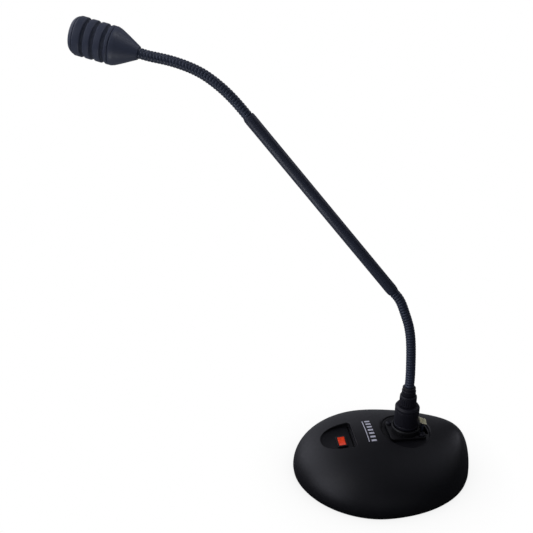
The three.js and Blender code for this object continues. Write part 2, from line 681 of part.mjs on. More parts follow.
piece(head, 'foam_filter', rod(10.8, 45.0, HEAD.cageEnd, 20), 'foam');
piece(head, 'capsule_mount', tube(8.3, 10.9, 35, 44.8, 20), 'rubber');
piece(head, 'capsule', turned([
  [0, 36], [7.6, 36], [8.0, 36.4], [8.0, 44], [7.6, 44.4], [0, 44.4],
], 20), 'steel');

// ---------------------------------------------------------------- output connector

const jackTurn = groupIn(base);
jackTurn.position.set(JACK.x, JACK.y, JACK.z);
jackTurn.rotation.z = rad(JACK.turnDeg);
const jack = groupIn(jackTurn);
jack.rotation.x = -Math.PI / 2;

function outputJack() {
  const { bodyR, threadR, start, end } = JACK;
  return turned([
    [2.0, start], [bodyR, start], [bodyR, 75.6], [threadR, 75.6],
    [threadR, end - 0.3], [threadR - 0.3, end], [2.0, end],
  ], 18);
}
piece(jack, 'output_jack', outputJack(), 'darkPlastic');

const jackNut = plate(ellipse(6.3, 6.3, 0, 6), JACK.seat + GAP, JACK.seat + 2.3)
  .subtract(rod(JACK.threadR + GAP, 80, 90, 24));
piece(jack, 'jack_nut', jackNut, 'steel');

// ---------------------------------------------------------------- motion data

// hinge positions and axes, for whoever drives the goosenecks and the rocker
model.userData.joints = joints;
model.userData.rocker = {
  at: inPocket(ROCKER.x, ROCKER.y, ROCKER.pivotZ).toArray(),
  axis: [0, Math.cos(rad(POCKET.tiltDeg)), Math.sin(rad(POCKET.tiltDeg))],
};
model.userData.path = {
  tubeStart: tubeStart.toArray(),
  tubeEnd: tubeEnd.toArray(),
  headStart: headStart.toArray(),
  headDir: headDir.toArray(),
  lower: lowerCentres.map((centre) => centre.toArray()),
  upper: upperCentres.map((centre) => centre.toArray()),
};

export default model;
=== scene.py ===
# A gooseneck desk microphone: a domed base with a rocker switch, a plugged-in stem
# of two goosenecks joined by a rigid tube, and a cylindrical head.
# The base stands on z = 0 with its front towards -Y and its jack at the rear (+Y).
# The stem rises from (0, AXIS_Y) and leans towards -Y and a little -X.
# Dimensions are in mm unless a comment says otherwise; the scene is in metres.
import json
import math
import bpy
import bmesh
import numpy as np
from mathutils import Matrix, Vector


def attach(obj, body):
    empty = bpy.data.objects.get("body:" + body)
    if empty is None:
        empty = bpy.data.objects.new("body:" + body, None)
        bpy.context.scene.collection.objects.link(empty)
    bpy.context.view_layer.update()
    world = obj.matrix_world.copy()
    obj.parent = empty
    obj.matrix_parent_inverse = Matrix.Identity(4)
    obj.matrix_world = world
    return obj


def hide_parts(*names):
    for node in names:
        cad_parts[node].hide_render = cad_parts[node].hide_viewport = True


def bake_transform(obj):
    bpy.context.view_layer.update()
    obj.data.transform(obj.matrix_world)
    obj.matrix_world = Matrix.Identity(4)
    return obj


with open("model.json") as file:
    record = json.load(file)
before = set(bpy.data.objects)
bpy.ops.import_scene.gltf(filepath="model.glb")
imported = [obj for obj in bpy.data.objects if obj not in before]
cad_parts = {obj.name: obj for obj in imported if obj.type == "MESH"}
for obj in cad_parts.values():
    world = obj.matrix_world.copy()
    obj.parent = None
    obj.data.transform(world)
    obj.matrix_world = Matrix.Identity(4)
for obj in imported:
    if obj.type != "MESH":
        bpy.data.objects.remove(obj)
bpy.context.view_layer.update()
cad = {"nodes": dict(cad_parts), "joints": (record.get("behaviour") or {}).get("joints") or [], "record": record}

MM = 0.001
joints = {joint["name"]: joint for joint in cad["joints"]}
scene = bpy.context.scene

# ------------------------------------------------------------------ stem and head layout
AXIS_Y = 29.0                       # where the stem leaves the base
SWING = math.radians(14.25)         # the stem's plane, turned from -Y towards -X
FORWARD = np.array([-math.sin(SWING), -math.cos(SWING), 0.0])
BEND_AXIS = np.array([math.cos(SWING), -math.sin(SWING), 0.0])
UP = np.array([0.0, 0.0, 1.0])


def on_plane(reach, z):
    """A point in the stem's plane, a horizontal reach away from the socket axis."""
    return np.array([0, AXIS_Y, z]) + FORWARD * reach


TUBE_START, TUBE_END = on_plane(19.4, 169.9), on_plane(135.7, 306.6)
TUBE_LENGTH = float(np.linalg.norm(TUBE_END - TUBE_START))
TUBE_DIR = (TUBE_END - TUBE_START) / TUBE_LENGTH
HEAD_START = on_plane(216.1, 350.5)
HEAD_TILT = math.radians(14.6)
HEAD_DIR = FORWARD * math.cos(HEAD_TILT) + UP * math.sin(HEAD_TILT)

# ------------------------------------------------------------------ dome shape
DOME_BASE = 4.3                     # height where the dome meets the skirt
DOME_TOP = 41.3
PEAK_Y = 8.2
FRONT_LENGTH, REAR_LENGTH = 68.4, 85.8
BASE_HALF_WIDTH = 64.3
PLAN_FRONT_POWER, PLAN_REAR_POWER = 1.91, 2.07
SECTION_POWER = 1.92                # superellipse of every cross section
CREST_FRONT_POWER = 2.21
CREST_REAR_FALL = math.radians(1.7)
CREST_REAR_POWER, CREST_REAR_ROOT = 13.4, 2.23


def half_length(y, inset=0.0):
    return (FRONT_LENGTH if y < 0 else REAR_LENGTH) - inset


def half_width(t, inset=0.0):
    """Half width of the plan at t, which runs from -1 at the front to 1 at the rear."""
    power = PLAN_FRONT_POWER if t < 0 else PLAN_REAR_POWER
    return (BASE_HALF_WIDTH - inset) * max(0.0, 1 - abs(t) ** power) ** (1 / power)


def crest(y, inset=0.0):
    """Height of the dome along its centre line."""
    y_front, y_rear = -half_length(-1, inset), half_length(1, inset)
    t = min(1.0, max(0.0, (PEAK_Y - y) / (PEAK_Y - y_front)))
    height = DOME_TOP - inset - DOME_BASE
    height *= max(0.0, 1 - t ** CREST_FRONT_POWER) ** (1 / CREST_FRONT_POWER)
    if y > PEAK_Y:
        height -= math.tan(CREST_REAR_FALL) * (y - PEAK_Y)
        t = min(1.0, (y - PEAK_Y) / (y_rear - PEAK_Y))
        height *= max(0.0, 1 - t ** CREST_REAR_POWER) ** (1 / CREST_REAR_ROOT)
    return DOME_BASE + height


def dome_z(x, y):
    width = half_width(y / half_length(y))
    if width <= abs(x):
        return DOME_BASE
    rise = (1 - (abs(x) / width) ** SECTION_POWER) ** (1 / SECTION_POWER)
    return DOME_BASE + (crest(y) - DOME_BASE) * rise


# ------------------------------------------------------------------ poses (4x4, in mm)
def at(origin, pose=None):
    """A pose moved to an origin."""
    pose = np.eye(4) if pose is None else pose.copy()
    pose[:3, 3] = origin
    return pose


def turned(degrees, axis):
    return np.array(Matrix.Rotation(math.radians(degrees), 4, axis))


def along(direction):
    """Local Z along a direction in the stem's plane, local X along the bending axis."""
    pose = np.eye(4)
    pose[:3, 0] = BEND_AXIS
    pose[:3, 1] = np.cross(direction, BEND_AXIS)
    pose[:3, 2] = direction
    return pose


def transform(points, pose):
    if pose is None:
        return points
    return np.array(points, float) @ pose[:3, :3].T + pose[:3, 3]


def place(obj, pose):
    """Moves a finished mesh by a pose."""
    metres = pose.copy()
    metres[:3, 3] *= MM
    obj.data.transform(Matrix(metres.tolist()))


# Finger pocket in the front of the dome, and the switch in its floor
POCKET_Y, POCKET_Z = -28.5, 33.3
POCKET_TILT = 6.34                  # degrees about X
POCKET_HALF_WIDTH, POCKET_LENGTH = 16.5, 27.0
POCKET_REAR = 10.3                  # local y where the straight rear corners begin
POCKET_POWER = 2.3
POCKET = at((0, POCKET_Y, POCKET_Z), turned(POCKET_TILT, "X"))
SWITCH = POCKET @ at((4.2, 0.8, 0))

# Stem socket, and the jack, whose local Z points out at the rear
STEM = at((0, AXIS_Y, 0))
Z_TO_Y = np.array([[1, 0, 0, 0], [0, 0, 1, 0], [0, -1, 0, 0], [0, 0, 0, 1]], float)
JACK = at((19.3, 5.69, 19.6), turned(35, "Z")) @ Z_TO_Y
HEAD = at(HEAD_START, along(HEAD_DIR))


# ------------------------------------------------------------------ mesh helpers
def add_object(name, data):
    obj = bpy.data.objects.new(name, data)
    scene.collection.objects.link(obj)
    return obj


def discard(obj):
    mesh = obj.data
    bpy.data.objects.remove(obj)
    bpy.data.meshes.remove(mesh)


def from_bmesh(name, bm):
    mesh = bpy.data.meshes.new(name)
    bm.to_mesh(mesh)
    bm.free()
    return add_object(name, mesh)


def shade(obj, angle):
    """Smooths the faces, keeps edges sharper than the angle (degrees), turns normals out."""
    bm = bmesh.new()
    bm.from_mesh(obj.data)
    bmesh.ops.remove_doubles(bm, verts=bm.verts, dist=1e-7)
    bmesh.ops.recalc_face_normals(bm, faces=bm.faces)
    if bm.calc_volume(signed=True) < 0:
        bmesh.ops.reverse_faces(bm, faces=bm.faces)
    limit = math.radians(angle)
    for face in bm.faces:
        face.smooth = True
    for edge in bm.edges:
        edge.smooth = len(edge.link_faces) == 2 and edge.calc_face_angle(0.0) < limit
    bm.to_mesh(obj.data)
    bm.free()
    obj.data.update()


def mesh_object(name, verts, faces, smooth=35.0):
    mesh = bpy.data.meshes.new(name)
    mesh.from_pydata([tuple(float(c) * MM for c in v) for v in verts], [], faces)
    mesh.validate()
    obj = add_object(name, mesh)
    shade(obj, smooth)
    return obj


def apply_modifiers(obj):
    graph = bpy.context.evaluated_depsgraph_get()
    graph.update()
    mesh = bpy.data.meshes.new_from_object(obj.evaluated_get(graph), depsgraph=graph)
    old = obj.data
    obj.modifiers.clear()
    obj.data = mesh
    bpy.data.meshes.remove(old)


def round_edges(obj, width, angle=30):
    bevel = obj.modifiers.new("bevel", "BEVEL")
    bevel.width = width * MM
    bevel.segments = 3
    bevel.limit_method = "ANGLE"
    bevel.angle_limit = math.radians(angle)
    bevel.use_clamp_overlap = True
    apply_modifiers(obj)


def cut(obj, cutters):
    for cutter in cutters:
        boolean = obj.modifiers.new("cut", "BOOLEAN")
        boolean.operation = "DIFFERENCE"
        boolean.object = cutter
        boolean.solver = "MANIFOLD"
    apply_modifiers(obj)
    for cutter in cutters:
        discard(cutter)


def join(name, parts):
    bm = bmesh.new()
    for part in parts:
        bm.from_mesh(part.data)
    for part in parts:
        discard(part)
    return from_bmesh(name, bm)


def fillet(profile, radius, closed, steps=3):
    """Rounds each corner of a profile, as far as its edges allow.

    A third value in a point sets that corner's own radius.
    """
    points, count = [], len(profile)
    for i, entry in enumerate(profile):
        corner_radius = entry[2] if len(entry) > 2 else radius
        corner = np.array(entry[:2], float)
        if corner_radius <= 0 or (not closed and i in (0, count - 1)):
            points.append(tuple(corner))
            continue
        to_last = np.array(profile[i - 1][:2], float) - corner
        to_next = np.array(profile[(i + 1) % count][:2], float) - corner
        last_length, next_length = np.linalg.norm(to_last), np.linalg.norm(to_next)
        if last_length < 1e-6 or next_length < 1e-6:
            points.append(tuple(corner))
            continue
        to_last, to_next = to_last / last_length, to_next / next_length
        cosine = float(to_last @ to_next)
        if abs(cosine) > 0.995:
            points.append(tuple(corner))
            continue
        half = math.acos(max(-1, min(1, cosine))) / 2
        setback = min(corner_radius / math.tan(half), last_length * 0.45, next_length * 0.45)
        start, end = corner + to_last * setback, corner + to_next * setback
        for k in range(steps + 1):
            t = k / steps
            points.append(tuple((1 - t) ** 2 * start + 2 * t * (1 - t) * corner + t * t * end))
    return points


def lathe(name, profile, seg, pose=None, corner=0.3, smooth=35.0, radial=None):
    """Turns a profile about local Z.

    The profile's columns are radius, z and, where given, that corner's own radius. It is a
    closed ring, or open when it starts and ends on the axis. radial(angle, radius, z) gives
    an amount to add to the radius.
    """
    closed = not (profile[0][0] == 0 and profile[-1][0] == 0)
    verts, faces, rings = [], [], []
    for radius, z in fillet(profile, corner, closed):
        if radius < 1e-9:
            rings.append([len(verts)])
            verts.append((0, 0, z))
            continue
        rings.append(list(range(len(verts), len(verts) + seg)))
        for k in range(seg):
            angle = 2 * math.pi * k / seg
            r = radius if radial is None else radius + radial(angle, radius, z)
            verts.append((r * math.cos(angle), r * math.sin(angle), z))
    for i in range(len(rings) if closed else len(rings) - 1):
        low, high = rings[i], rings[(i + 1) % len(rings)]
        if len(low) == 1 and len(high) == 1:
            continue
        for k in range(seg):
            k2 = (k + 1) % seg
            if len(low) == 1:
                faces.append((low[0], high[k], high[k2]))
            elif len(high) == 1:
                faces.append((low[k], low[k2], high[0]))
            else:
                faces.append((low[k], low[k2], high[k2], high[k]))
    return mesh_object(name, transform(verts, pose), faces, smooth)


def cylinder(name, radius, z0, z1, x=0, y=0, seg=48, pose=None):
    """A plain cylinder, upright at (x, y) unless it is given a pose."""
    pose = at((x, y, 0)) if pose is None else pose
    return lathe(name, [(0, z0), (radius, z0), (radius, z1), (0, z1)], seg, pose, corner=0)


def wall_faces(n, layers=2):
    """Both end caps, then the sides, of stacked n-point outlines."""
    last = (layers - 1) * n
    faces = [tuple(range(n - 1, -1, -1)), tuple(range(last, last + n))]
    for j in range(0, last, n):
        faces += [(j + i, j + (i + 1) % n, j + n + (i + 1) % n, j + n + i) for i in range(n)]
    return faces


def prism(name, outline, z0, z1, pose=None, bevel=0.0):
    """A flat outline pulled up from z0 to z1, with its edges rounded."""
    verts = [(x, y, z) for z in (z0, z1) for x, y in outline]
    obj = mesh_object(name, verts, wall_faces(len(outline)))
    if bevel:
        round_edges(obj, bevel)
    shade(obj, 35)
    if pose is not None:
        place(obj, pose)
    return obj


def box(name, x0, x1, y0, y1, z0, z1, pose=None):
    return prism(name, [(x0, y0), (x1, y0), (x1, y1), (x0, y1)], z0, z1, pose)


def rounded_rect(half_x, half_y, radius, steps=6, centre_x=0, centre_y=0):
    points = []
    for sign_x, sign_y, start in ((1, -1, -90), (1, 1, 0), (-1, 1, 90), (-1, -1, 180)):
        for k in range(steps + 1):
            a = math.radians(start + 90 * k / steps)
            points.append((centre_x + sign_x * (half_x - radius) + radius * math.cos(a),
                           centre_y + sign_y * (half_y - radius) + radius * math.sin(a)))
    return points


# ------------------------------------------------------------------ shader helpers
def srgb(colour):
    """Linear RGBA from 0-255 sRGB."""
    def linear(c):
        c /= 255.0
        return c / 12.92 if c <= 0.04045 else ((c + 0.055) / 1.055) ** 2.4
    return (*(linear(c) for c in colour), 1.0)


class Nodes:
    """A node tree. Wherever a node takes a value, a number or another socket will do."""

    def __init__(self, tree):
        self.tree = tree

    def feed(self, socket, value):
        if isinstance(value, bpy.types.NodeSocket):
            self.tree.links.new(value, socket)
        else:
            socket.default_value = value

    def add(self, kind, inputs=None, **settings):
        node = self.tree.nodes.new("ShaderNode" + kind)
        for key, value in settings.items():
            setattr(node, key, value)
        for key, value in (inputs or {}).items():
            self.feed(node.inputs[key], value)
        return node

    def calc(self, operation, *values):
        return self.add("Math", dict(enumerate(values)), operation=operation).outputs[0]

    def map_range(self, value, source, target, **settings):
        ends = {"Value": value, "From Min": source[0], "From Max": source[1],
                "To Min": target[0], "To Max": target[1]}
        return self.add("MapRange", ends, **settings).outputs["Result"]


class Material(Nodes):
    """Principled BSDF with varied colour and roughness. Textures use object space in mm."""

    def __init__(self, name, colour, roughness, metallic=0.0, vary=0.18, rough_vary=0.06,
                 coat=0.0, specular=0.5):
        self.material = bpy.data.materials.new(name)
        self.material.use_nodes = True
        super().__init__(self.material.node_tree)
        self.bsdf = self.tree.nodes["Principled BSDF"]
        self.set("Metallic", metallic)
        self.set("Specular IOR Level", specular)
        self.set("Coat Weight", coat)
        place_mm = {"Vector": self.add("TexCoord").outputs["Object"],
                    "Scale": (1000, 1000, 1000)}
        self.vector = self.add("Mapping", place_mm).outputs["Vector"]
        self.normal = None
        clouds = self.noise(scale=0.05, detail=4)
        rgb = srgb(colour)[:3]
        ramp = self.add("ValToRGB", {"Fac": clouds})
        dark, light = ramp.color_ramp.elements
        dark.position = 0.3
        dark.color = tuple(c * (1 - vary) for c in rgb) + (1,)
        light.position = 0.7
        light.color = tuple(min(1, c * (1 + vary)) for c in rgb) + (1,)
        self.colour = ramp.outputs["Color"]
        self.set("Base Color", self.colour)
        self.set("Roughness", self.map_range(
            self.noise(scale=0.35, detail=5), source=(0.25, 0.75),
            target=(roughness - rough_vary, roughness + rough_vary)))

    def set(self, name, value):
        self.feed(self.bsdf.inputs[name], value)

    def texture(self, kind, output, inputs, **settings):
        return self.add(kind, {"Vector": self.vector, **inputs}, **settings).outputs[output]

    def noise(self, scale, detail=3, roughness=0.55):
        inputs = {"Scale": scale, "Detail": detail, "Roughness": roughness}
        return self.texture("TexNoise", "Fac", inputs)

    def cells(self, scale):
        return self.texture("TexVoronoi", "Distance", {"Scale": scale})

    def wave(self, scale, axis, distortion=0.0):
        inputs = {"Scale": scale, "Distortion": distortion}
        return self.texture("TexWave", "Fac", inputs, bands_direction=axis)

    def bump(self, height, mm, strength):
        inputs = {"Strength": strength, "Distance": mm * MM, "Height": height}
        if self.normal is not None:
            inputs["Normal"] = self.normal
        self.normal = self.add("Bump", inputs).outputs["Normal"]
        self.set("Normal", self.normal)

    def tint(self, factor, colour):
        """Mixes a colour over what is there. Mix inputs 0, 6, 7 are factor, A and B."""
        inputs = {0: factor, 6: self.colour, 7: srgb(colour)}
        self.colour = self.add("Mix", inputs, data_type="RGBA", blend_type="MIX").outputs[2]
        self.set("Base Color", self.colour)

    def edge_wear(self, colour, low, high, amount):
        """Patchy tint on convex edges; low and high bound the pointiness."""
        pointiness = self.add("NewGeometry").outputs["Pointiness"]
        edge = self.map_range(pointiness, source=(low, high), target=(0, amount))
        patches = self.noise(scale=0.8, detail=6)
        patches = self.map_range(patches, source=(0.4, 0.65), target=(0.0, 1.0))
        self.tint(self.calc("MULTIPLY", edge, patches), colour)

    def dust(self, colour, amount, scale=0.22):
        specks = self.noise(scale, detail=8, roughness=0.7)
        self.tint(self.map_range(specks, source=(0.55, 0.8), target=(0, amount)), colour)


# ------------------------------------------------------------------ materials, one function each
def base_shell():
    gloss = 0.42
    m = Material("moulded_black", (13, 13, 17), roughness=0.44, vary=0.12, rough_vary=0.05,
                 specular=gloss)
    m.bump(m.noise(scale=3.2, detail=5, roughness=0.6), mm=0.05, strength=0.34)
    m.bump(m.cells(scale=2.4), mm=0.035, strength=0.22)
    m.bump(m.noise(scale=0.06, detail=2), mm=0.25, strength=0.12)
    m.edge_wear((52, 52, 58), low=0.55, high=0.68, amount=0.3)
    m.dust((60, 60, 64), amount=0.04)

    # The pocket is duller. Positions here are in metres, turned into the pocket's frame.
    pocket_gloss = 0.19
    margin = 0.1
    rear_limit = 12.2 * MM
    fade_heights = (0.2 * MM, 2.6 * MM)
    edge_value = 1.02               # superellipse value at the patch's edge
    where = m.add("SeparateXYZ", {0: m.add("TexCoord").outputs["Object"]}).outputs
    tilt = math.radians(POCKET_TILT)
    y = m.calc("ADD", where["Y"], -POCKET_Y * MM)
    z = m.calc("SUBTRACT", where["Z"], POCKET_Z * MM)
    across = m.calc("MULTIPLY", where["X"], 1 / ((POCKET_HALF_WIDTH + margin) * MM))
    across = m.calc("ABSOLUTE", across, 0.0)
    local_y = m.calc("ADD", m.calc("MULTIPLY", y, math.cos(tilt)),
                     m.calc("MULTIPLY", z, math.sin(tilt)))
    local_z = m.calc("SUBTRACT", m.calc("MULTIPLY", z, math.cos(tilt)),
                     m.calc("MULTIPLY", y, math.sin(tilt)))
    ahead = m.calc("MULTIPLY", m.calc("SUBTRACT", POCKET_REAR * MM, local_y),
                   1 / ((POCKET_LENGTH + margin) * MM))
    ahead = m.calc("MAXIMUM", ahead, 0.0)
    reach = m.calc("ADD", m.calc("POWER", across, POCKET_POWER),
                   m.calc("POWER", ahead, POCKET_POWER))
    inside = m.calc("LESS_THAN", reach, edge_value)
    low = m.map_range(local_z, source=fade_heights, target=(1.0, 0.0))
    matte = m.calc("MULTIPLY", m.calc("MULTIPLY", inside, low),
                   m.calc("LESS_THAN", local_y, rear_limit))
    m.set("Specular IOR Level",
          m.map_range(matte, source=(0.0, 1.0), target=(gloss, pocket_gloss)))
    return m


def dark_plastic():
    m = Material("satin_black", (9, 9, 12), roughness=0.46, vary=0.15, specular=0.35)
    m.bump(m.noise(scale=4.0, detail=4), mm=0.03, strength=0.3)
    m.edge_wear((44, 44, 50), low=0.54, high=0.66, amount=0.3)
    return m


def connector_black():
    m = Material("connector_black", (27, 27, 35), roughness=0.50, vary=0.15,
                 rough_vary=0.05, specular=0.28)
    m.bump(m.noise(scale=2.6, detail=5), mm=0.03, strength=0.3)
    m.edge_wear((66, 66, 76), low=0.53, high=0.62, amount=0.4)
    m.dust((60, 60, 66), amount=0.05)
    return m


def stem_black():
    m = Material("stem_black", (48, 54, 70), roughness=0.46, metallic=0.1, vary=0.12,
                 rough_vary=0.05)
    m.bump(m.noise(scale=1.6, detail=6), mm=0.03, strength=0.35)
    m.edge_wear((74, 78, 88), low=0.54, high=0.66, amount=0.3)
    m.dust((84, 86, 90), amount=0.07)
    return m


def coil_black():
    m = Material("coil_black", (50, 58, 76), roughness=0.42, metallic=0.2, vary=0.14,
                 rough_vary=0.07)
    m.bump(m.noise(scale=2.2, detail=6), mm=0.02, strength=0.3)
    m.edge_wear((92, 97, 110), low=0.52, high=0.60, amount=0.3)
    m.dust((84, 86, 90), amount=0.06)
    return m


def head_black():
    m = Material("head_coat", (60, 67, 86), roughness=0.50, vary=0.10, rough_vary=0.05)
    m.bump(m.noise(scale=3.4, detail=4), mm=0.045, strength=0.4)
    m.bump(m.cells(scale=2.8), mm=0.03, strength=0.25)
    m.edge_wear((96, 100, 112), low=0.54, high=0.66, amount=0.35)
    return m


def head_mesh():
    m = Material("head_mesh", (54, 61, 78), roughness=0.6, metallic=0.1)
    weave = m.calc("MULTIPLY", m.wave(scale=1.6, axis="X"), m.wave(scale=1.6, axis="Z"))
    m.bump(weave, mm=0.25, strength=0.9)
    m.tint(m.map_range(weave, source=(0.3, 0.8), target=(0, 0.5)), (46, 48, 54))
    return m


def steel():
    m = Material("machined_steel", (168, 169, 172), roughness=0.33, metallic=1.0,
                 vary=0.06, rough_vary=0.08)
    m.bump(m.wave(scale=2.4, axis="Z", distortion=2.0), mm=0.02, strength=0.25)
    m.bump(m.noise(scale=1.2, detail=6), mm=0.02, strength=0.3)
    m.dust((88, 84, 78), amount=0.12)
    return m


def zinc():
    m = Material("cast_zinc", (132, 134, 137), roughness=0.55, metallic=0.9, vary=0.12)
    m.bump(m.noise(scale=0.9, detail=7, roughness=0.7), mm=0.15, strength=0.6)
    m.dust((84, 80, 74), amount=0.25)
    return m


def brass():
    m = Material("brass_plate", (255, 243, 205), roughness=0.36, metallic=0.35, vary=0.12,
                 rough_vary=0.1)
    m.bump(m.noise(scale=1.5, detail=6), mm=0.03, strength=0.4)
    m.dust((96, 82, 54), amount=0.35, scale=0.5)
    m.edge_wear((232, 224, 196), low=0.52, high=0.6, amount=0.6)
    return m


def rubber():
    m = Material("rubber_black", (20, 20, 21), roughness=0.82, vary=0.2, specular=0.3)
    m.bump(m.noise(scale=2.4, detail=6, roughness=0.65), mm=0.08, strength=0.6)
    m.dust((96, 94, 90), amount=0.14)
    return m


def red_rocker():
    """Slightly translucent, with a faint painted glow from its emission."""
    m = Material("rocker_red", (255, 62, 22), roughness=0.30, vary=0.05, coat=0.1)
    m.set("Subsurface Weight", 0.25)
    # Painted glow: this emission brightens the red cap; the switch holds no lamp
    m.set("Emission Color", srgb((255, 74, 20)))
    m.set("Emission Strength", 0.14)
    m.set("Subsurface Radius", (1.0, 0.25, 0.1))
    m.set("Subsurface Scale", 0.003)
    m.bump(m.noise(scale=2.0, detail=4), mm=0.015, strength=0.3)
    return m


def board_green():
    m = Material("board_green", (28, 88, 52), roughness=0.42, vary=0.08)
    waves = m.calc("MULTIPLY", m.wave(scale=0.22, axis="X", distortion=1.2),
                   m.wave(scale=0.16, axis="Y", distortion=2.0))
    threshold = 0.42
    traces = m.calc("GREATER_THAN", waves, threshold)
    m.tint(traces, (40, 118, 66))
    m.bump(traces, mm=0.04, strength=0.6)
    return m


def foam():
    m = Material("foam_black", (22, 22, 24), roughness=0.95, vary=0.2, specular=0.2)
    m.bump(m.cells(scale=1.6), mm=0.5, strength=0.9)
    return m


def print_white():
    m = Material("print_white", (226, 226, 236), roughness=0.6, vary=0.05, specular=0.3)
    m.bump(m.noise(scale=5.0, detail=4), mm=0.015, strength=0.4)
    worn = m.noise(scale=0.9, detail=8, roughness=0.75)
    m.tint(m.map_range(worn, source=(0.58, 0.72), target=(0, 0.35)), (120, 121, 126))
    return m


# Keyed by function name, which is also the CAD material slot's name where one exists
materials = {make.__name__: make().material for make in (
    base_shell, dark_plastic, connector_black, stem_black, coil_black, head_black, head_mesh,
    steel, zinc, brass, rubber, red_rocker, board_green, foam, print_white)}


def dress(obj, body, material, replaces=None):
    """Gives a piece its material, the body it rides on, the CAD node it replaces."""
    obj.data.materials.clear()
    obj.data.materials.append(materials[material])
    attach(obj, body)
    if replaces:
        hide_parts(replaces)


# CAD nodes that keep their own shape take a procedural material each
slot_of = {part["node"]: part["material_slot"] for part in cad["record"]["subparts"]}
for name, node in cad["nodes"].items():
    node.data.materials.clear()
    node.data.materials.append(materials[slot_of[name]])

# ------------------------------------------------------------------ base cover
SHELL_WALL = 2.4
FLOOR_WALL = 2.2                    # thickness under the pocket and the stem recess
DRAFT = 1.0                         # how far a tapered cutter opens out at its top
RECESS_HALF_X, RECESS_HALF_Y = 23.5, 20.6
RECESS_FLOOR = 36.9
BASE_SCREWS = [(-36, -34), (36, -34), (-36, 54), (36, 54)]


def pocket_outline(grow, steps=60):
    """Straight across the rear with rounded corners, a superellipse towards the front."""
    half_x, length = POCKET_HALF_WIDTH + grow, POCKET_LENGTH + grow
    corner = 2.6
    rear = POCKET_REAR + grow + 1.6
    points = [(-half_x, POCKET_REAR)]
    for side, start in ((-1, math.pi), (1, math.pi / 2)):
        for k in range(7):
            a = start - math.pi / 2 * k / 6
            points.append((side * (half_x - corner) + corner * math.cos(a),
                           rear - corner + corner * math.sin(a)))
    points.append((half_x, POCKET_REAR))
    power = 2 / POCKET_POWER
    for i in range(1, steps):
        a = math.pi * i / steps
        x = half_x * math.copysign(abs(math.cos(a)) ** power, math.cos(a))
        points.append((x, POCKET_REAR - length * math.sin(a) ** power))
    spaced = []
    for point in points:
        if not spaced or math.dist(point, spaced[-1]) > 0.15:
            spaced.append(point)
    return spaced[::-1]


def recess_outline(grow=0.0, steps=96):
    """An ellipse about the stem axis."""
    angles = [2 * math.pi * i / steps for i in range(steps)]
    return [((RECESS_HALF_X + grow) * math.cos(a),
             AXIS_Y + (RECESS_HALF_Y + grow) * math.sin(a)) for a in angles]


def tapered_cutter(name, outline, z0, z1, pose=None):
    """A cutter that opens out with height, as a moulding tool does."""
    low = np.array(outline, float)
    centre = low.mean(0)
    grow = 1 + DRAFT / np.linalg.norm(low - centre, axis=1)
    high = centre + (low - centre) * grow[:, None]
    verts = [(x, y, z0) for x, y in low] + [(x, y, z1) for x, y in high]
    return mesh_object(name, transform(verts, pose), wall_faces(len(low)))


def surface_z(pose, x, y):
    """Height of the dome over a point of a local frame, along that frame's Z."""
    z = 4.0
    for _ in range(12):
        world = pose[:3, :3] @ np.array([x, y, z]) + pose[:3, 3]
        z += (dome_z(world[0], world[1]) - world[2]) / pose[2, 2]
    return z


def soft_cutter(name, outline, floor, top, rim, foot, pose):
    """A recess with a rounded floor corner (foot) and a rounded rim that follows the dome."""
    base = np.array(outline, float)
    n = len(base)
    doubled_area = sum(base[i][0] * base[(i + 1) % n][1] - base[(i + 1) % n][0] * base[i][1]
                       for i in range(n))
    if doubled_area < 0:
        base = base[::-1]
    tangent = np.roll(base, -1, 0) - np.roll(base, 1, 0)
    outward = np.stack([tangent[:, 1], -tangent[:, 0]], 1)
    outward = outward / np.linalg.norm(tangent, axis=1)[:, None]
    verts = []
    for k in range(4):
        a = math.pi / 2 * k / 3
        verts += [(*(base[i] - outward[i] * foot * (1 - math.sin(a))),
                   floor + foot * (1 - math.cos(a))) for i in range(n)]
    radii = [min(rim, max(0.15, (surface_z(pose, *p) - floor - foot) * 0.8)) for p in base]
    for k in range(8):
        a = math.pi / 2 * k / 7
        for i, point in enumerate(base):
            x, y = point + outward[i] * radii[i] * (1 - math.cos(a))
            z = surface_z(pose, x, y) - radii[i] * (1 - math.sin(a)) + 0.03
            verts.append((x, y, max(floor + foot + 0.01 * (k + 1), z)))
    verts += [(p[0] + outward[i][0] * radii[i] * 1.02,
               p[1] + outward[i][1] * radii[i] * 1.02, top) for i, p in enumerate(base)]
    return mesh_object(name, transform(verts, pose), wall_faces(n, layers=13))


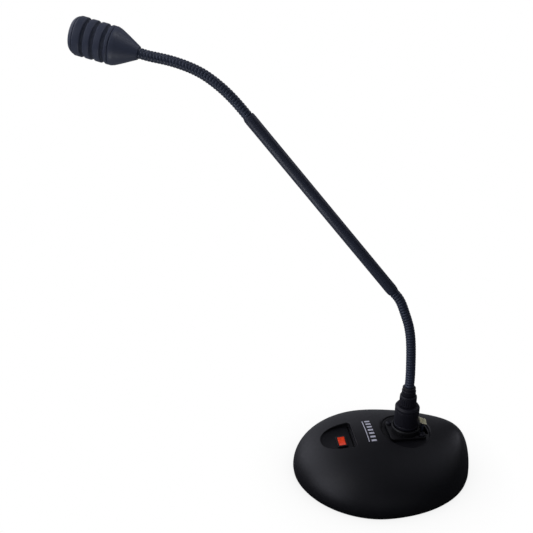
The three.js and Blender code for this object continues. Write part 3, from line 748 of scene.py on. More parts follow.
def dome_mesh(name, inset, bottom_z, bottom_scale, skirt_z, stations, arcs):
    """The dome as cross sections from front to rear, closed below by a skirt and a floor."""
    verts = []
    power = 2 / SECTION_POWER
    middle_scale = (1 + bottom_scale) / 2
    for j in range(stations + 1):
        t = -math.cos(math.pi * j / stations)
        y = t * half_length(t, inset)
        width, height = half_width(t, inset), crest(y, inset)
        for k in range(arcs + 1):
            a = math.pi * k / arcs
            c = math.cos(a)
            s = 0.0 if k in (0, arcs) else max(0.0, math.sin(a))
            verts.append((width * math.copysign(abs(c) ** power, c), y,
                          DOME_BASE + (height - DOME_BASE) * s ** power))
        verts.append((-width * (1 + bottom_scale) / 2, y * (1 + bottom_scale) / 2, skirt_z))
        verts.append((-width * bottom_scale, y * bottom_scale, bottom_z))
        verts.append((width * bottom_scale, y * bottom_scale, bottom_z))
        verts.append((width * (1 + bottom_scale) / 2, y * (1 + bottom_scale) / 2, skirt_z))
    n = arcs + 5
    faces = []
    for j in range(stations):
        for k in range(n):
            k2 = (k + 1) % n
            faces.append((j * n + k, j * n + k2, (j + 1) * n + k2, (j + 1) * n + k))
    obj = mesh_object(name, verts, faces)
    # The sections shrink to a point at both ends, so their leftovers are merged away
    bm = bmesh.new()
    bm.from_mesh(obj.data)
    bmesh.ops.remove_doubles(bm, verts=bm.verts, dist=2e-6)
    bmesh.ops.dissolve_degenerate(bm, edges=bm.edges, dist=1e-6)
    bmesh.ops.recalc_face_normals(bm, faces=bm.faces)
    bm.to_mesh(obj.data)
    bm.free()
    return obj


def dome_field(x, y, z):
    """Zero on the dome and positive outside it; None where the dome is too small to tell."""
    width = half_width(y / half_length(y))
    height = crest(y) - DOME_BASE
    if width < 0.5 or height < 0.5:
        return None
    return ((abs(x) / width) ** SECTION_POWER
            + (max(0.0, z - DOME_BASE) / height) ** SECTION_POWER - 1)


def dome_normals(obj):
    """Gives the corners on the dome its exact normals, so the cuts leave no shading marks."""
    mesh = obj.data
    corners = np.zeros(len(mesh.loops) * 3, np.float32)
    mesh.corner_normals.foreach_get("vector", corners)
    corners = corners.reshape(-1, 3)
    points = np.zeros(len(mesh.vertices) * 3)
    mesh.vertices.foreach_get("co", points)
    points = points.reshape(-1, 3) / MM
    on_dome = np.zeros(len(points), bool)
    normals = np.zeros((len(points), 3))
    probe = 0.01
    for i, point in enumerate(points):
        if point[2] < DOME_BASE + 0.3:
            continue
        value = dome_field(*point)
        if value is None or abs(value) > 0.02:
            continue
        pairs = [(dome_field(*(point + step)), dome_field(*(point - step)))
                 for step in np.eye(3) * probe]
        if any(after is None or before is None for after, before in pairs):
            continue
        gradient = np.array([(after - before) / (2 * probe) for after, before in pairs])
        slope = np.linalg.norm(gradient)
        if abs(value) / slope < 0.06:
            on_dome[i] = True
            normals[i] = gradient / slope
    for face in mesh.polygons:
        ids = list(face.vertices)
        if not all(on_dome[v] for v in ids):
            continue
        face_normal = np.array(face.normal)
        if min(float(face_normal @ normals[v]) for v in ids) > 0.9:
            for loop, v in zip(face.loop_indices, ids):
                corners[loop] = normals[v]
    mesh.normals_split_custom_set(corners.tolist())


def base_moulding():
    cover = dome_mesh("base_moulding", inset=0.0, bottom_z=0.5, bottom_scale=0.985,
                      skirt_z=1.2, stations=150, arcs=110)
    hollow = dome_mesh("hollow", inset=SHELL_WALL, bottom_z=-2, bottom_scale=1.0,
                       skirt_z=2.0, stations=60, arcs=44)
    # What is cut from the hollow stays solid in the cover
    cut(hollow, [
        tapered_cutter("pocket_tub", pocket_outline(FLOOR_WALL), -FLOOR_WALL, 20, POCKET),
        tapered_cutter("recess_tub", recess_outline(SHELL_WALL),
                       RECESS_FLOOR - FLOOR_WALL, 60),
        *(cylinder("screw_boss", 3.6, 4.7, 60, x, y, seg=20) for x, y in BASE_SCREWS),
        cylinder("jack_boss", 9.7, 76, 86, pose=JACK)])
    cut(cover, [hollow])
    cut(cover, [
        soft_cutter("pocket", pocket_outline(0), 0, 20, rim=0.8, foot=0.5, pose=POCKET),
        soft_cutter("recess", recess_outline(), RECESS_FLOOR, 60, rim=2.2, foot=0.9,
                    pose=np.eye(4))])
    cut(cover, [
        box("switch_hole", -6.3, 6.3, -4.1, 4.1, -6, 6, SWITCH),
        cylinder("socket_hole", 11.9, 30, 60, y=AXIS_Y, seg=64),
        box("tab_hole", -5.3, 5.3, AXIS_Y + 12.5, AXIS_Y + 19.4, 30, 40)])
    cut(cover, [
        *(cylinder("screw_well", 1.8, 0, 14, x, y, seg=16) for x, y in BASE_SCREWS),
        cylinder("jack_hole", 4.5, 60, 100, pose=JACK),
        cylinder("jack_seat", 7.2, 82, 102, seg=64, pose=JACK)])
    shade(cover, 32)
    dome_normals(cover)
    return cover


dress(base_moulding(), "base", "base_shell", replaces="base_cover")


# ------------------------------------------------------------------ underside
def plan_outline(inset, steps=180):
    points = []
    for i in range(steps):
        a = 2 * math.pi * i / steps
        t = math.sin(a)
        width = half_width(t, inset)
        points.append((width if math.cos(a) >= 0 else -width, t * half_length(t, inset)))
    return points


def rubber_mat():
    """A flat mat with clearance for the screws and ring grooves in its underside."""
    mat = prism("rubber_mat", plan_outline(3.6), 0.0, 1.5)
    groove_width, groove_depth = 1.2, 0.5
    holes = [cylinder("hole", 3.3, -2, 4, x, y, seg=40) for x, y in BASE_SCREWS]
    grooves = []
    for radius in (16, 22, 28, 34, 40, 46):
        outer = radius + groove_width
        section = [(radius, -1), (outer, -1), (outer, groove_depth), (radius, groove_depth)]
        grooves.append(lathe("groove", section, 120, at((0, 8, 0)), corner=0))
    cut(mat, holes + grooves)
    shade(mat, 35)
    return mat


def screw(name, profile, x, y, recess_reach, recess_z0, recess_z1):
    """A turned pan-head screw with a cross recess."""
    obj = lathe(name, profile, 40, corner=0.18)
    reach, half_slot = recess_reach, 0.28
    cut(obj, [box("slot_x", -reach, reach, -half_slot, half_slot, recess_z0, recess_z1),
              box("slot_y", -half_slot, half_slot, -reach, reach, recess_z0, recess_z1)])
    shade(obj, 35)
    place(obj, at((x, y, 0)))
    return obj


dress(rubber_mat(), "base", "rubber", replaces="anti_slip_mat")

FOOT_FACE = 0.2                     # z of the foot screws' downward face
FOOT_SCREW_PROFILE = [
    (0, FOOT_FACE), (2.1, FOOT_FACE), (2.8, 0.7), (2.8, 1.5), (1.45, 1.5), (1.45, 13.2),
    (0, 13.6)]
for number, (x, y) in enumerate(BASE_SCREWS, 1):
    foot_screw = screw(f"foot_screw_{number}", FOOT_SCREW_PROFILE, x, y, recess_reach=1.5,
                       recess_z0=FOOT_FACE - 2, recess_z1=FOOT_FACE + 0.9)
    dress(foot_screw, "base", "steel", replaces=f"base_screw_{number}")

# ------------------------------------------------------------------ rocker switch
OPENING_X, OPENING_Y = 5.45, 3.2    # half sizes of the housing's opening
ROCKER_PIVOT_Z = -1.5
ROCKER_TURN = 9                     # degrees


def rocker_housing():
    opening = (-OPENING_X, OPENING_X, -OPENING_Y, OPENING_Y)
    bezel = prism("bezel", rounded_rect(7.0, 4.5, 1.0), 0.3, 1.25, bevel=0.3)
    cut(bezel, [box("bezel_opening", *opening, -8, 8)])
    body = box("housing_body", -6, 6, -3.8, 3.8, -11, 0.28)
    cut(body, [box("body_opening", *opening, -6, 8)])
    shade(bezel, 30)
    housing = join("rocker_housing", [bezel, body])
    place(housing, SWITCH)
    return housing


def rocker_cap():
    """Two dished faces either side of a valley, hollowed a little across the width."""
    # x, z of the upper face, then of the underside
    top = [(-4.6, 2.0), (-3.8, 1.66), (-2.8, 1.36), (-1.8, 1.14), (-0.8, 1.0), (0, 0.95),
           (0.8, 1.0), (1.8, 1.14), (2.8, 1.36), (3.8, 1.66), (4.6, 2.0)]
    underside = [(4.6, -1.2), (2.4, -3.5), (-2.4, -3.5), (-4.6, -1.2)]
    half_y, hollow = 2.9, 0.10
    rows = [-half_y, -2.2, -1.1, 0, 1.1, 2.2, half_y]
    section = top + underside
    verts = []
    for y in rows:
        for i, (x, z) in enumerate(section):
            sink = -hollow * (1 - (y / half_y) ** 2) if i < len(top) else 0
            verts.append((x, y, z + sink))
    n = len(section)
    last = n * (len(rows) - 1)
    faces = [tuple(range(n)), tuple(range(last, last + n))[::-1]]
    for j in range(0, last, n):
        for i in range(n):
            i2 = (i + 1) % n
            faces.append((j + i, j + i2, j + n + i2, j + n + i))
    cap = mesh_object("red_rocker_cap", verts, faces, 30)
    round_edges(cap, 0.28, angle=40)
    shade(cap, 30)
    pivot = at((0, 0, ROCKER_PIVOT_Z))
    place(cap, SWITCH @ pivot @ turned(ROCKER_TURN, "Y") @ np.linalg.inv(pivot))
    return cap


dress(rocker_housing(), "base", "dark_plastic", replaces="switch_housing")
dress(rocker_cap(), "rocker", "red_rocker", replaces="rocker_cap")

# ------------------------------------------------------------------ stem socket
FLANGE_SCREW_X, FLANGE_SCREW_Y = 9.5, 12    # from the stem axis, one screw each way


def stem_socket():
    flange = prism("flange", rounded_rect(13, 15.5, 3.2, 8), 37.2, 39.4, bevel=0.35)
    ring = lathe("ring", [(10.9, 36), (12.3, 36), (12.3, 43.4, 0.8), (11.6, 44.4, 0.4),
                          (10.9, 44.4), (10.8, 43.2)], 96, corner=0.25)
    barrel = lathe("barrel", [(9.8, 18), (11.6, 18), (11.6, 38), (9.8, 38)], 72)
    floor = cylinder("socket_floor", 9.9, 18.2, 26, seg=72)
    lip = lathe("lip", [(9.8, 38), (11.2, 38), (11.2, 43.2), (9.8, 43.2)], 72, corner=0.2)
    cut(flange, [
        cylinder("bore", 10.6, 30, 50, seg=72),
        *(cylinder("screw_hole", 1.7, 30, 50, side * FLANGE_SCREW_X, side * FLANGE_SCREW_Y,
                   seg=24) for side in (-1, 1)),
        box("tab_slot", -5, 5, 12.3, 19, 30, 50)])
    shade(flange, 30)
    socket = join("stem_socket", [flange, ring, barrel, floor, lip])
    place(socket, STEM)
    return socket


dress(stem_socket(), "base", "dark_plastic", replaces="socket_body")

SEAT_Z = 39.7                       # underside of the flange screws' heads
HEAD_TOP = SEAT_Z + 1.5
FLANGE_SCREW_PROFILE = [
    (0, 29), (1.15, 29.4), (1.15, SEAT_Z), (2.6, SEAT_Z), (2.6, SEAT_Z + 0.8, 0.4),
    (1.7, HEAD_TOP, 0.4), (0, HEAD_TOP)]
for number, side in ((1, -1), (2, 1)):
    flange_screw = screw(f"socket_screw_{number}", FLANGE_SCREW_PROFILE,
                         FLANGE_SCREW_X * side, AXIS_Y + FLANGE_SCREW_Y * side,
                         recess_reach=1.4, recess_z0=HEAD_TOP - 0.8, recess_z1=HEAD_TOP + 2)
    dress(flange_screw, "base", "connector_black",
          replaces=f"flange_screw_{number}")

# ------------------------------------------------------------------ latch
LATCH = STEM @ turned(-10, "Z")


def thumb_plate():
    """A plated plate with pressed grip lines across it and rounded edges."""
    columns, rows = 40, 64
    x0, x1, y0, y1 = -5.2, 2.4, 11.3, 17.6
    grip_height, grip_pitch, grip_start = 0.75, 1.5, 12.6
    edge_drop, edge_run = 0.45, 0.5
    verts, faces = [], []
    for is_top in (True, False):
        for i in range(columns + 1):
            for j in range(rows + 1):
                u, v = i / columns, j / rows
                x, y = x0 + (x1 - x0) * u, y0 + (y1 - y0) * v
                crown = 50.2 - 2.2 * v - 0.35 * math.sin(math.pi * v)
                edge_x, edge_y = min(u, 1 - u) * (x1 - x0), min(v, 1 - v) * (y1 - y0)
                drop = (edge_drop * (1 - min(1, edge_x / edge_run)) ** 2
                        + edge_drop * (1 - min(1, edge_y / edge_run)) ** 2)
                if is_top:
                    wave = 0.5 - 0.5 * math.cos(2 * math.pi * (y - grip_start) / grip_pitch)
                    grip = grip_height * wave ** 0.8
                    grip *= min(1, edge_x / 0.6) * min(1, edge_y / 0.5)
                    z = crown - grip_height + grip - drop
                else:
                    z = crown - 1.7 + drop * 0.6
                verts.append((x, y, z))
    n, w = (columns + 1) * (rows + 1), rows + 1
    for i in range(columns):
        for j in range(rows):
            quad = (i * w + j, (i + 1) * w + j, (i + 1) * w + j + 1, i * w + j + 1)
            faces += [quad, tuple(n + k for k in quad[::-1])]
    rim = [i * w for i in range(columns + 1)]
    rim += [columns * w + j for j in range(1, rows + 1)]
    rim += [i * w + rows for i in range(columns - 1, -1, -1)]
    rim += list(range(rows - 1, 0, -1))
    for a, b in zip(rim, rim[1:] + rim[:1]):
        faces.append((a, n + a, n + b, b))
    plate = mesh_object("latch_thumb_plate", verts, faces, 50)
    place(plate, LATCH)
    return plate


dress(thumb_plate(), "latch", "brass", replaces="release_tab")
latch_leg = prism("latch_leg", rounded_rect(2.7, 1.1, 0.35, 3, -1.7, 14.3), 36.0, 48.2,
                  LATCH, bevel=0.15)
dress(latch_leg, "latch", "stem_black", replaces="release_tab")

# ------------------------------------------------------------------ plug on the foot of the stem
# Columns: radius, z, own corner radius
PLUG_PROFILE = [
    (8.0, 30), (9.4, 30), (9.4, 44.8), (10.0, 44.8), (10.4, 45.2), (10.4, 46.6),
    (10.15, 46.9), (10.15, 47.5), (10.4, 47.8), (10.4, 60.6), (10.2, 60.85), (10.2, 61.3),
    (10.4, 61.55), (10.4, 63.2, 0.5), (9.2, 65, 0.5), (3.4, 65), (3.4, 62), (6.4, 61.6),
    (6.4, 50.3), (8.0, 50.3)]
GLAND_PROFILE = [
    (3.4, 65.3), (7.2, 65.3, 0.5), (7.2, 66.6), (7.25, 66.9), (7.25, 72.8), (7.1, 73.2),
    (7.1, 74.2, 0.7), (6.2, 75, 0.4), (3.4, 75)]
BOOT_PROFILE = [
    (2.4, 75.3), (5.9, 75.3, 0.5), (5.9, 79.6, 0.4), (5.5, 80.1), (5.5, 82.4, 0.7),
    (4.6, 83.2, 0.4), (3.5, 83.2), (3.5, 88), (2.4, 88)]


def gland_flutes(angle, radius, z):
    """24 narrow flutes in the outer face of the gland nut."""
    if radius < 7.0 or not 66.7 < z < 73.0:
        return 0.0
    return -0.28 * (0.5 - 0.5 * math.cos(24 * angle)) ** 3


for name, profile, seg, radial, replaced in (
        ("plug_barrel", PLUG_PROFILE, 96, None, "plug_shell"),
        ("gland", GLAND_PROFILE, 192, gland_flutes, "gland_nut"),
        ("relief_boot", BOOT_PROFILE, 96, None, "strain_relief")):
    plug_part = lathe(name, profile, seg, corner=0.2, radial=radial)
    place(plug_part, STEM)
    dress(plug_part, "stem_plug", "connector_black", replaces=replaced)

# ------------------------------------------------------------------ goosenecks
COIL_RADIUS = 4.0
COIL_PITCH = 2.45
GROOVE_DEPTH = 0.52
COIL_SEGMENTS = 44
STATION_STEP = COIL_PITCH / 8
TUBE_OVERLAP = 0.4                  # how far a coil's end runs into the tube or head


class Spline:
    """A clamped cubic spline through points, given the directions at its two ends."""

    def __init__(self, points, start_dir, end_dir):
        P = np.array(points, float)
        lengths = np.linalg.norm(np.diff(P, axis=0), axis=1)
        self.knots = np.concatenate([[0], np.cumsum(lengths)])
        n = len(P)
        h = np.diff(self.knots)
        A, B = np.zeros((n, n)), np.zeros((n, 3))
        A[0, 0], A[0, 1] = 2 * h[0], h[0]
        B[0] = 6 * ((P[1] - P[0]) / h[0] - start_dir)
        A[-1, -1], A[-1, -2] = 2 * h[-1], h[-1]
        B[-1] = 6 * (end_dir - (P[-1] - P[-2]) / h[-1])
        for i in range(1, n - 1):
            A[i, i - 1], A[i, i], A[i, i + 1] = h[i - 1], 2 * (h[i - 1] + h[i]), h[i]
            B[i] = 6 * ((P[i + 1] - P[i]) / h[i] - (P[i] - P[i - 1]) / h[i - 1])
        self.points, self.spans = P, h
        self.moments = np.linalg.solve(A, B)        # second derivatives at the knots

    def __call__(self, s):
        """Point and unit tangent at distance s."""
        i = int(np.clip(np.searchsorted(self.knots, s, side="right") - 1,
                        0, len(self.spans) - 1))
        a, b, h = self.knots[i + 1] - s, s - self.knots[i], self.spans[i]
        m0, m1 = self.moments[i], self.moments[i + 1]
        c0 = self.points[i] / h - m0 * h / 6
        c1 = self.points[i + 1] / h - m1 * h / 6
        point = m0 * a ** 3 / (6 * h) + m1 * b ** 3 / (6 * h) + c0 * a + c1 * b
        tangent = -m0 * a ** 2 / (2 * h) + m1 * b ** 2 / (2 * h) - c0 + c1
        return point, tangent / np.linalg.norm(tangent)


def coil_radius(s, angle):
    """A rounded ridge each pitch with a narrow groove between, running as a helix."""
    u = ((s / COIL_PITCH - angle / (2 * math.pi)) % 1.0) * 2 - 1
    return COIL_RADIUS - GROOVE_DEPTH * abs(u) ** 3.2


def coil_piece(name, path, s0, s1):
    """The wound surface between two distances along the path, with flat ends."""
    first = int(math.ceil(s0 / STATION_STEP + 1e-6))
    last = int(math.floor(s1 / STATION_STEP - 1e-6))
    stations = [s0] + [k * STATION_STEP for k in range(first, last + 1)] + [s1]
    stations = sorted(set(round(s, 6) for s in stations))
    seg = COIL_SEGMENTS
    verts, faces = [], []
    for s in stations:
        centre, tangent = path(s)
        side = np.cross(tangent, BEND_AXIS)
        for k in range(seg):
            a = 2 * math.pi * k / seg
            verts.append(centre + coil_radius(s, a) * (math.cos(a) * BEND_AXIS
                                                       + math.sin(a) * side))
    last_ring = (len(stations) - 1) * seg
    for j in range(0, last_ring, seg):
        for k in range(seg):
            k2 = (k + 1) % seg
            faces.append((j + k, j + k2, j + seg + k2, j + seg + k))
    for ring, s in ((0, s0), (last_ring, s1)):
        verts.append(path(s)[0])
        faces += [(len(verts) - 1, ring + k, ring + (k + 1) % seg) for k in range(seg)]
    return mesh_object(name, verts, faces, 60)


def gooseneck(prefix, start, end, start_dir, end_dir):
    """One coil piece per joint, cut about halfway between neighbouring joints."""
    chain = [joints[f"{prefix}_{kind}"] for kind in (
        "bend_1", "side_1", "bend_2", "side_2", "bend_3", "side_3", "bend_4")]
    centres = [np.array(joint["pos_m"]) / MM for joint in chain]
    path = Spline([start] + centres + [end], start_dir, end_dir)
    knots = path.knots
    cuts = [0.0]
    for i in range(1, len(centres)):
        cuts.append(round((knots[i] + knots[i + 1]) / 2 / STATION_STEP) * STATION_STEP)
    cuts.append(knots[-1])
    for i, joint in enumerate(chain):
        s0, s1, middle = cuts[i], cuts[i + 1], knots[i + 1]
        piece = coil_piece(f"{prefix}_coil_{i + 1}", path, s0, s1)
        piece.data.materials.append(materials["coil_black"])
        reach = 0.92 * min(s1 - middle, middle - s0)
        tuple(path(middle - reach)[0] * MM)
        tuple(path(middle + reach)[0] * MM)
        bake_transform(piece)
        if i < len(centres) - 1:
            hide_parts(f"{prefix}_link_{i + 1}")


gooseneck("lower", np.array([0, AXIS_Y, 83.0]), TUBE_START + TUBE_DIR * TUBE_OVERLAP,
          UP, TUBE_DIR)
gooseneck("upper", TUBE_END - TUBE_DIR * TUBE_OVERLAP, HEAD_START + HEAD_DIR * TUBE_OVERLAP,
          TUBE_DIR, HEAD_DIR)

# ------------------------------------------------------------------ rigid tube
TUBE_PROFILE = [
    (3.55, 0.5), (4.15, 0.0, 0.2), (4.55, 1.4, 0.8), (4.72, 4.0, 2.0), (4.66, 12),
    (4.66, TUBE_LENGTH - 12), (4.72, TUBE_LENGTH - 4.0, 2.0), (4.6, TUBE_LENGTH - 1.2, 0.8),
    (4.2, TUBE_LENGTH, 0.3), (3.55, TUBE_LENGTH - 0.5), (3.4, TUBE_LENGTH - 9), (3.4, 9)]
tube = lathe("rigid_tube", TUBE_PROFILE, 72, at(TUBE_START, along(TUBE_DIR)), smooth=40)
dress(tube, "stem_tube", "stem_black", replaces="stem_tube")

# ------------------------------------------------------------------ microphone head
CONE_PROFILE = [
    (2.4, 0.2), (4.9, 0.0), (5.3, 0.7, 0.4), (7.3, 4.4), (9.6, 8.6, 4), (11.6, 12.4, 4),
    (13.3, 15.8, 5), (14.1, 18.3, 2), (14.12, 19.25), (13.5, 19.5), (12.1, 19.45),
    (12.1, 18.0), (7.6, 8.9), (2.4, 5.5)]
GROOVE_RADIUS = 13.0                # floor of the grooves between the ribs


def rib(z0, z1, radius):
    return [(GROOVE_RADIUS, z0, 0.25), (radius - 0.5, z0, 0.5), (radius, z0 + 0.6, 0.45),
            (radius, z1 - 0.6, 0.45), (radius - 0.5, z1, 0.5), (GROOVE_RADIUS, z1, 0.25)]


CAGE_PROFILE = [
    (11.5, 19.75), (13.45, 19.75), (13.9, 20.0), (14.15, 20.4), (14.15, 22.0, 0.4),
    (13.65, 22.6, 0.5), (GROOVE_RADIUS, 22.6, 0.25),
    *rib(25.2, 30.4, 14.2), *rib(33.0, 38.0, 14.25),
    (GROOVE_RADIUS, 40.4, 0.25), (13.85, 40.4, 0.5), (14.35, 41.0, 0.4), (14.35, 45.6, 0.5),
    (13.85, 46.35, 0.3), (11.5, 46.35)]
GRILLE_RIM_PROFILE = [
    (11.0, 46.7), (13.7, 46.7), (13.6, 47.3, 0.5), (12.65, 48.85, 1.2), (11.5, 49.95, 0.5),
    (10.4, 50.2), (10.4, 49.3), (11.0, 48.4)]
GROOVE_SPANS = [(22.75, 25.05), (30.55, 32.85), (38.15, 40.25)]     # z from, z to

cone = lathe("head_cone", CONE_PROFILE, 128, HEAD, corner=0.2, smooth=40)
dress(cone, "head", "head_black", replaces="head_rear_cone")
cage = lathe("head_ribs", CAGE_PROFILE, 128, HEAD, corner=0.2, smooth=40)
dress(cage, "head", "head_black", replaces="head_cage")
for number, (z0, z1) in enumerate(GROOVE_SPANS, 1):
    band = lathe(f"groove_mesh_{number}", [(12.7, z0), (13.1, z0), (13.1, z1), (12.7, z1)],
                 128, HEAD, corner=0.05)
    dress(band, "head", "head_mesh")


def grille_sheet():
    """A domed sheet of round holes, made from a grid of squares that are each opened up."""
    pitch, border = 1.5, 0.36
    grid_radius, holed_radius, sheet_radius = 10.9, 9.9, 11.2
    top_z, dome_drop, dome_power = 52.35, 2.45, 2.2
    bm = bmesh.new()
    grid = {}

    def corner(i, j):
        if (i, j) not in grid:
            x, y = (i - 0.5) * pitch, (j - 0.5) * pitch
            grid[(i, j)] = bm.verts.new((x * MM, y * MM, 0))
        return grid[(i, j)]

    count = int(grid_radius / pitch) + 1
    for i in range(-count, count + 1):
        for j in range(-count, count + 1):
            if math.hypot(i * pitch, j * pitch) < grid_radius:
                bm.faces.new((corner(i, j), corner(i + 1, j),
                              corner(i + 1, j + 1), corner(i, j + 1)))
    inner = [f for f in bm.faces if f.calc_center_median().length < holed_radius * MM]
    bmesh.ops.inset_individual(bm, faces=inner, thickness=border * MM)
    hole_side = (pitch - 2 * border) * MM
    holes = [f for f in bm.faces
             if all(abs(e.calc_length() - hole_side) < 1e-5 for e in f.edges)]
    bmesh.ops.delete(bm, geom=holes, context="FACES_ONLY")
    for vert in bm.verts:
        radius = vert.co.length / MM
        if radius > sheet_radius:
            vert.co *= sheet_radius / radius
            radius = sheet_radius
        vert.co.z = (top_z - dome_drop * (radius / sheet_radius) ** dome_power) * MM
    sheet = from_bmesh("sheet", bm)
    solidify = sheet.modifiers.new("solid", "SOLIDIFY")
    solidify.thickness = 0.5 * MM
    solidify.offset = -1
    subdivide = sheet.modifiers.new("sub", "SUBSURF")
    subdivide.levels = subdivide.render_levels = 1
    apply_modifiers(sheet)
    shade(sheet, 50)
    return sheet


rim = lathe("rim", GRILLE_RIM_PROFILE, 128, corner=0.15, smooth=40)
grille = join("front_mesh", [rim, grille_sheet()])
place(grille, HEAD)
dress(grille, "head", "head_black", replaces="front_grille")

# ------------------------------------------------------------------ rear connector
JACK_PROFILE = [
    (2.0, 60), (6.5, 60), (6.5, 75.6), (4.2, 75.6), (4.2, 85.3), (3.9, 85.7),
    (2.3, 85.7, 0.3), (2.0, 85.3)]
NUT_RADIUS = 6.25                   # to the hexagon's corners


def jack_nut():
    hexagon = [(NUT_RADIUS * math.cos(math.pi * i / 3), NUT_RADIUS * math.sin(math.pi * i / 3))
               for i in range(6)]
    nut = prism("jack_hex_nut", hexagon, 82.3, 84.6, bevel=0.25)
    cut(nut, [cylinder("nut_bore", 4.5, 80, 90)])
    shade(nut, 30)
    place(nut, JACK)
    return nut


jack = lathe("rear_jack", JACK_PROFILE, 72, JACK, corner=0.2)
dress(jack, "base", "dark_plastic", replaces="output_jack")
dress(jack_nut(), "base", "steel", replaces="jack_nut")

# ------------------------------------------------------------------ printed strip
# Seven equal bars in a row, with a plain line in front of them
BADGE_HALF_WIDTH = 14.2
BAR_COUNT, BAR_WIDTH, BAR_PITCH = 7, 2.0, 4.4
BAR_Y0, BAR_Y1 = -4.2, 0.2
LINE_Y0, LINE_Y1 = -6.6, -5.9
PRINT_CELL = 0.6
PRINT_ABOVE, PRINT_BELOW = 0.09, 0.12       # thickness either side of the dome's surface


def add_patch(bm, x0, x1, y0, y1):
    """A closed slab that follows the dome over one rectangle."""
    nx, ny = max(1, int((x1 - x0) / PRINT_CELL)), max(1, int((y1 - y0) / PRINT_CELL))
    top, low = {}, {}
    for i in range(nx + 1):
        for j in range(ny + 1):
            x, y = x0 + (x1 - x0) * i / nx, y0 + (y1 - y0) * j / ny
            z = dome_z(x, y)
            top[i, j] = bm.verts.new((x * MM, y * MM, (z + PRINT_ABOVE) * MM))
            low[i, j] = bm.verts.new((x * MM, y * MM, (z - PRINT_BELOW) * MM))

    def side(a, b, flip):
        face = (top[a], low[a], low[b], top[b])
        bm.faces.new(face[::-1] if flip else face)

    for i in range(nx):
        for j in range(ny):
            bm.faces.new((top[i, j], top[i + 1, j], top[i + 1, j + 1], top[i, j + 1]))
            bm.faces.new((low[i, j], low[i, j + 1], low[i + 1, j + 1], low[i + 1, j]))
    for i in range(nx):
        side((i, 0), (i + 1, 0), flip=False)
        side((i, ny), (i + 1, ny), flip=True)
    for j in range(ny):
        side((0, j), (0, j + 1), flip=True)
        side((nx, j), (nx, j + 1), flip=False)


def printed_badge():
    bm = bmesh.new()
    add_patch(bm, -BADGE_HALF_WIDTH, BADGE_HALF_WIDTH, LINE_Y0, LINE_Y1)
    for k in range(BAR_COUNT):
        x0 = -BADGE_HALF_WIDTH + BAR_PITCH * k
        add_patch(bm, x0, x0 + BAR_WIDTH, BAR_Y0, BAR_Y1)
    badge = from_bmesh("printed_badge", bm)
    shade(badge, 40)
    return badge


dress(printed_badge(), "base", "print_white")


# ------------------------------------------------------------------ floor and world
def pale_floor(glow):
    """White to the camera with a painted contact shadow; to everything else a dim floor that glows towards -X.
    """
    material = bpy.data.materials.new("pale_floor")
    material.use_nodes = True
    n = Nodes(material.node_tree)
    n.tree.nodes.remove(n.tree.nodes["Principled BSDF"])
    # Seen by the camera: white, with a painted contact shadow that darkens it a little close to the object
    openness = n.add("AmbientOcclusion", {"Distance": 0.045}, samples=8).outputs["AO"]
    white = n.map_range(openness, source=(0.35, 1.0), target=(0.86, 1.0))
    seen = n.add("Emission", {"Color": (1, 1, 1, 1), "Strength": white})
    # Seen by other rays: dim, with a glow that fades out between two x positions in metres
    dim = n.add("BsdfDiffuse", {"Color": (0.12, 0.12, 0.125, 1)})
    geometry = n.add("NewGeometry").outputs
    x = n.add("SeparateXYZ", {0: geometry["Position"]}).outputs["X"]
    fade = n.map_range(x, source=(-0.14, 0.02), target=(glow, 0.0),
                       interpolation_type="SMOOTHSTEP")
    glowing = n.add("Emission", {"Color": (0.88, 0.92, 1.0, 1), "Strength": fade})
    lit = n.add("AddShader", {0: dim.outputs["BSDF"], 1: glowing.outputs["Emission"]})
    camera_ray = n.add("LightPath").outputs["Is Camera Ray"]
    floor = n.add("MixShader", {"Fac": camera_ray, 1: lit.outputs["Shader"],
                                2: seen.outputs["Emission"]})
    # From below, the floor is clear to the camera
    clear = n.add("BsdfTransparent")
    from_below = n.calc("MULTIPLY", geometry["Backfacing"], camera_ray)
    one_way = n.add("MixShader", {"Fac": from_below, 1: floor.outputs["Shader"],
                                  2: clear.outputs["BSDF"]})
    n.feed(n.tree.nodes["Material Output"].inputs["Surface"], one_way.outputs["Shader"])
    return material


def floor_plane():
    half_size, z = 40, 0.00005      # metres
    corners = [(-half_size, -half_size, z), (half_size, -half_size, z),
               (half_size, half_size, z), (-half_size, half_size, z)]
    mesh = bpy.data.meshes.new("floor")
    mesh.from_pydata(corners, [], [(0, 1, 2, 3)])
    floor = add_object("floor", mesh)
    mesh.materials.append(pale_floor(glow=0.20))


# Soft panels of light: direction, cosine of the full-strength and of the outer edge, strength
LIGHT_PANELS = [
    ((-0.70, -0.70, 0.12), 0.99, 0.80, 0.78),       # pale wall at the front, towards -X
    ((-0.50, -0.65, 0.55), 0.99, 0.85, 0.90),       # wide panel above it
    ((0.35, -0.90, 0.30), 0.99, 0.85, 1.45),        # reflector in front of the base
    ((0.00, -0.75, 0.65), 0.99, 0.80, 0.67),        # high front
    ((-1.00, 0.00, 0.12), 0.99, 0.80, 0.28),        # backdrop, opposite the camera
    ((-0.75, 0.00, 0.65), 0.99, 0.80, 0.25),        # above the backdrop
    ((0.00, 0.75, 0.65), 0.99, 0.80, 0.22),         # high rear
    ((0.00, 0.00, 1.00), 0.99, 0.80, 0.13),         # ceiling
    ((0.90, 0.10, 0.15), 0.99, 0.80, 0.22),         # room behind the camera
    ((0.70, -0.10, 0.70), 0.99, 0.80, 0.13),        # above the camera
    ((-0.31, 0.77, 0.56), 0.995, 0.95, 1.6),        # small window at the rear
    ((0.00, 0.00, -1.00), 0.90, 0.20, 0.60),        # from below
]


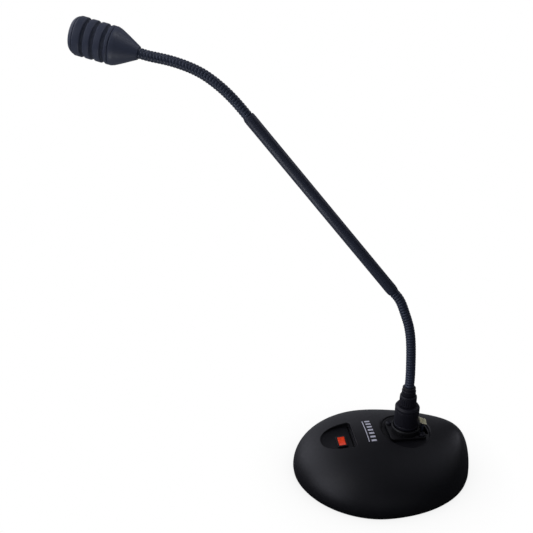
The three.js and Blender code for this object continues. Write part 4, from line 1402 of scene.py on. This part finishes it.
def studio_world(ambient, camera_strength):
    """Plain white to the camera; to everything else the light panels in a dim room."""
    world = bpy.data.worlds.new("studio")
    scene.world = world
    world.use_nodes = True
    n = Nodes(world.node_tree)
    background = n.tree.nodes["Background"]
    direction = n.add("TexCoord").outputs["Generated"]
    total = ambient
    for towards, inner, outer, strength in LIGHT_PANELS:
        cosine = n.add("VectorMath", {0: direction, 1: Vector(towards).normalized()},
                       operation="DOT_PRODUCT").outputs["Value"]
        panel = n.map_range(cosine, source=(outer, inner), target=(0.0, strength),
                            interpolation_type="SMOOTHSTEP")
        total = n.calc("ADD", panel, total)
    camera_ray = n.add("LightPath").outputs["Is Camera Ray"]
    # Mix inputs: 0 factor; 2, 3 the two numbers; 6, 7 the two colours
    strength = n.add("Mix", {0: camera_ray, 2: total, 3: camera_strength})
    n.feed(background.inputs["Strength"], strength.outputs[0])
    colour = n.add("Mix", data_type="RGBA",
                   inputs={0: camera_ray, 6: (0.87, 0.88, 1.0, 1), 7: (1, 1, 1, 1)})
    n.feed(background.inputs["Color"], colour.outputs[2])


floor_plane()
studio_world(ambient=0.01, camera_strength=1.02)


# ------------------------------------------------------------------ lights (metres, watts)
def add_light(name, kind, location, target, **settings):
    data = bpy.data.lights.new(name, kind)
    for key, value in settings.items():
        setattr(data, key, value)
    light = add_object(name, data)
    light.location = location
    light.rotation_mode = "QUATERNION"
    aim = Vector(target) - Vector(location)
    light.rotation_quaternion = aim.to_track_quat("-Z", "Y")
    return light


key = add_light("key", "AREA", location=(0.35, -0.75, 0.95), target=(0, -0.08, 0.2),
                energy=0.42, size=0.45)
key.visible_camera = False
# Lifts the underside of the stem and head
low_fill = add_light("low_fill", "AREA", location=(0.12, -0.25, 0.10),
                     target=(0.02, -0.20, 0.35), energy=0.24, size=0.16)
low_fill.visible_camera = False
add_light("head_spot", "SPOT", location=(0.02, -0.06, 0.62),
          target=Vector(tuple(HEAD_START * MM)) + Vector((0, -0.012, 0)),
          energy=0.7, spot_size=math.radians(30), spot_blend=1.0, shadow_soft_size=0.05)


# ------------------------------------------------------------------ camera
def add_camera(azimuth, elevation, target, distance):
    """Looks down at a target (metres) from the +X side; azimuth turns it about Z from -Y."""
    a, e = math.radians(azimuth), math.radians(elevation)
    right = Vector((math.cos(a), math.sin(a), 0))
    up = Vector((-math.sin(a) * math.sin(e), math.cos(a) * math.sin(e), math.cos(e)))
    back = Vector((math.sin(a) * math.cos(e), -math.cos(a) * math.cos(e), math.sin(e)))
    data = bpy.data.cameras.new("camera")
    camera = add_object("camera", data)
    data.sensor_width = 36.0
    data.lens = 47.212008
    data.clip_start = 0.01
    data.clip_end = 100
    turn = Matrix((right, up, back)).transposed().to_4x4()
    camera.matrix_world = Matrix.Translation(Vector(target) + back * distance) @ turn
    scene.camera = camera


add_camera(azimuth=83.8, elevation=23.45, target=(0, -0.09231, 0.19911), distance=0.53186)
scene.view_settings.view_transform = "Standard"
scene.view_settings.look = "None"
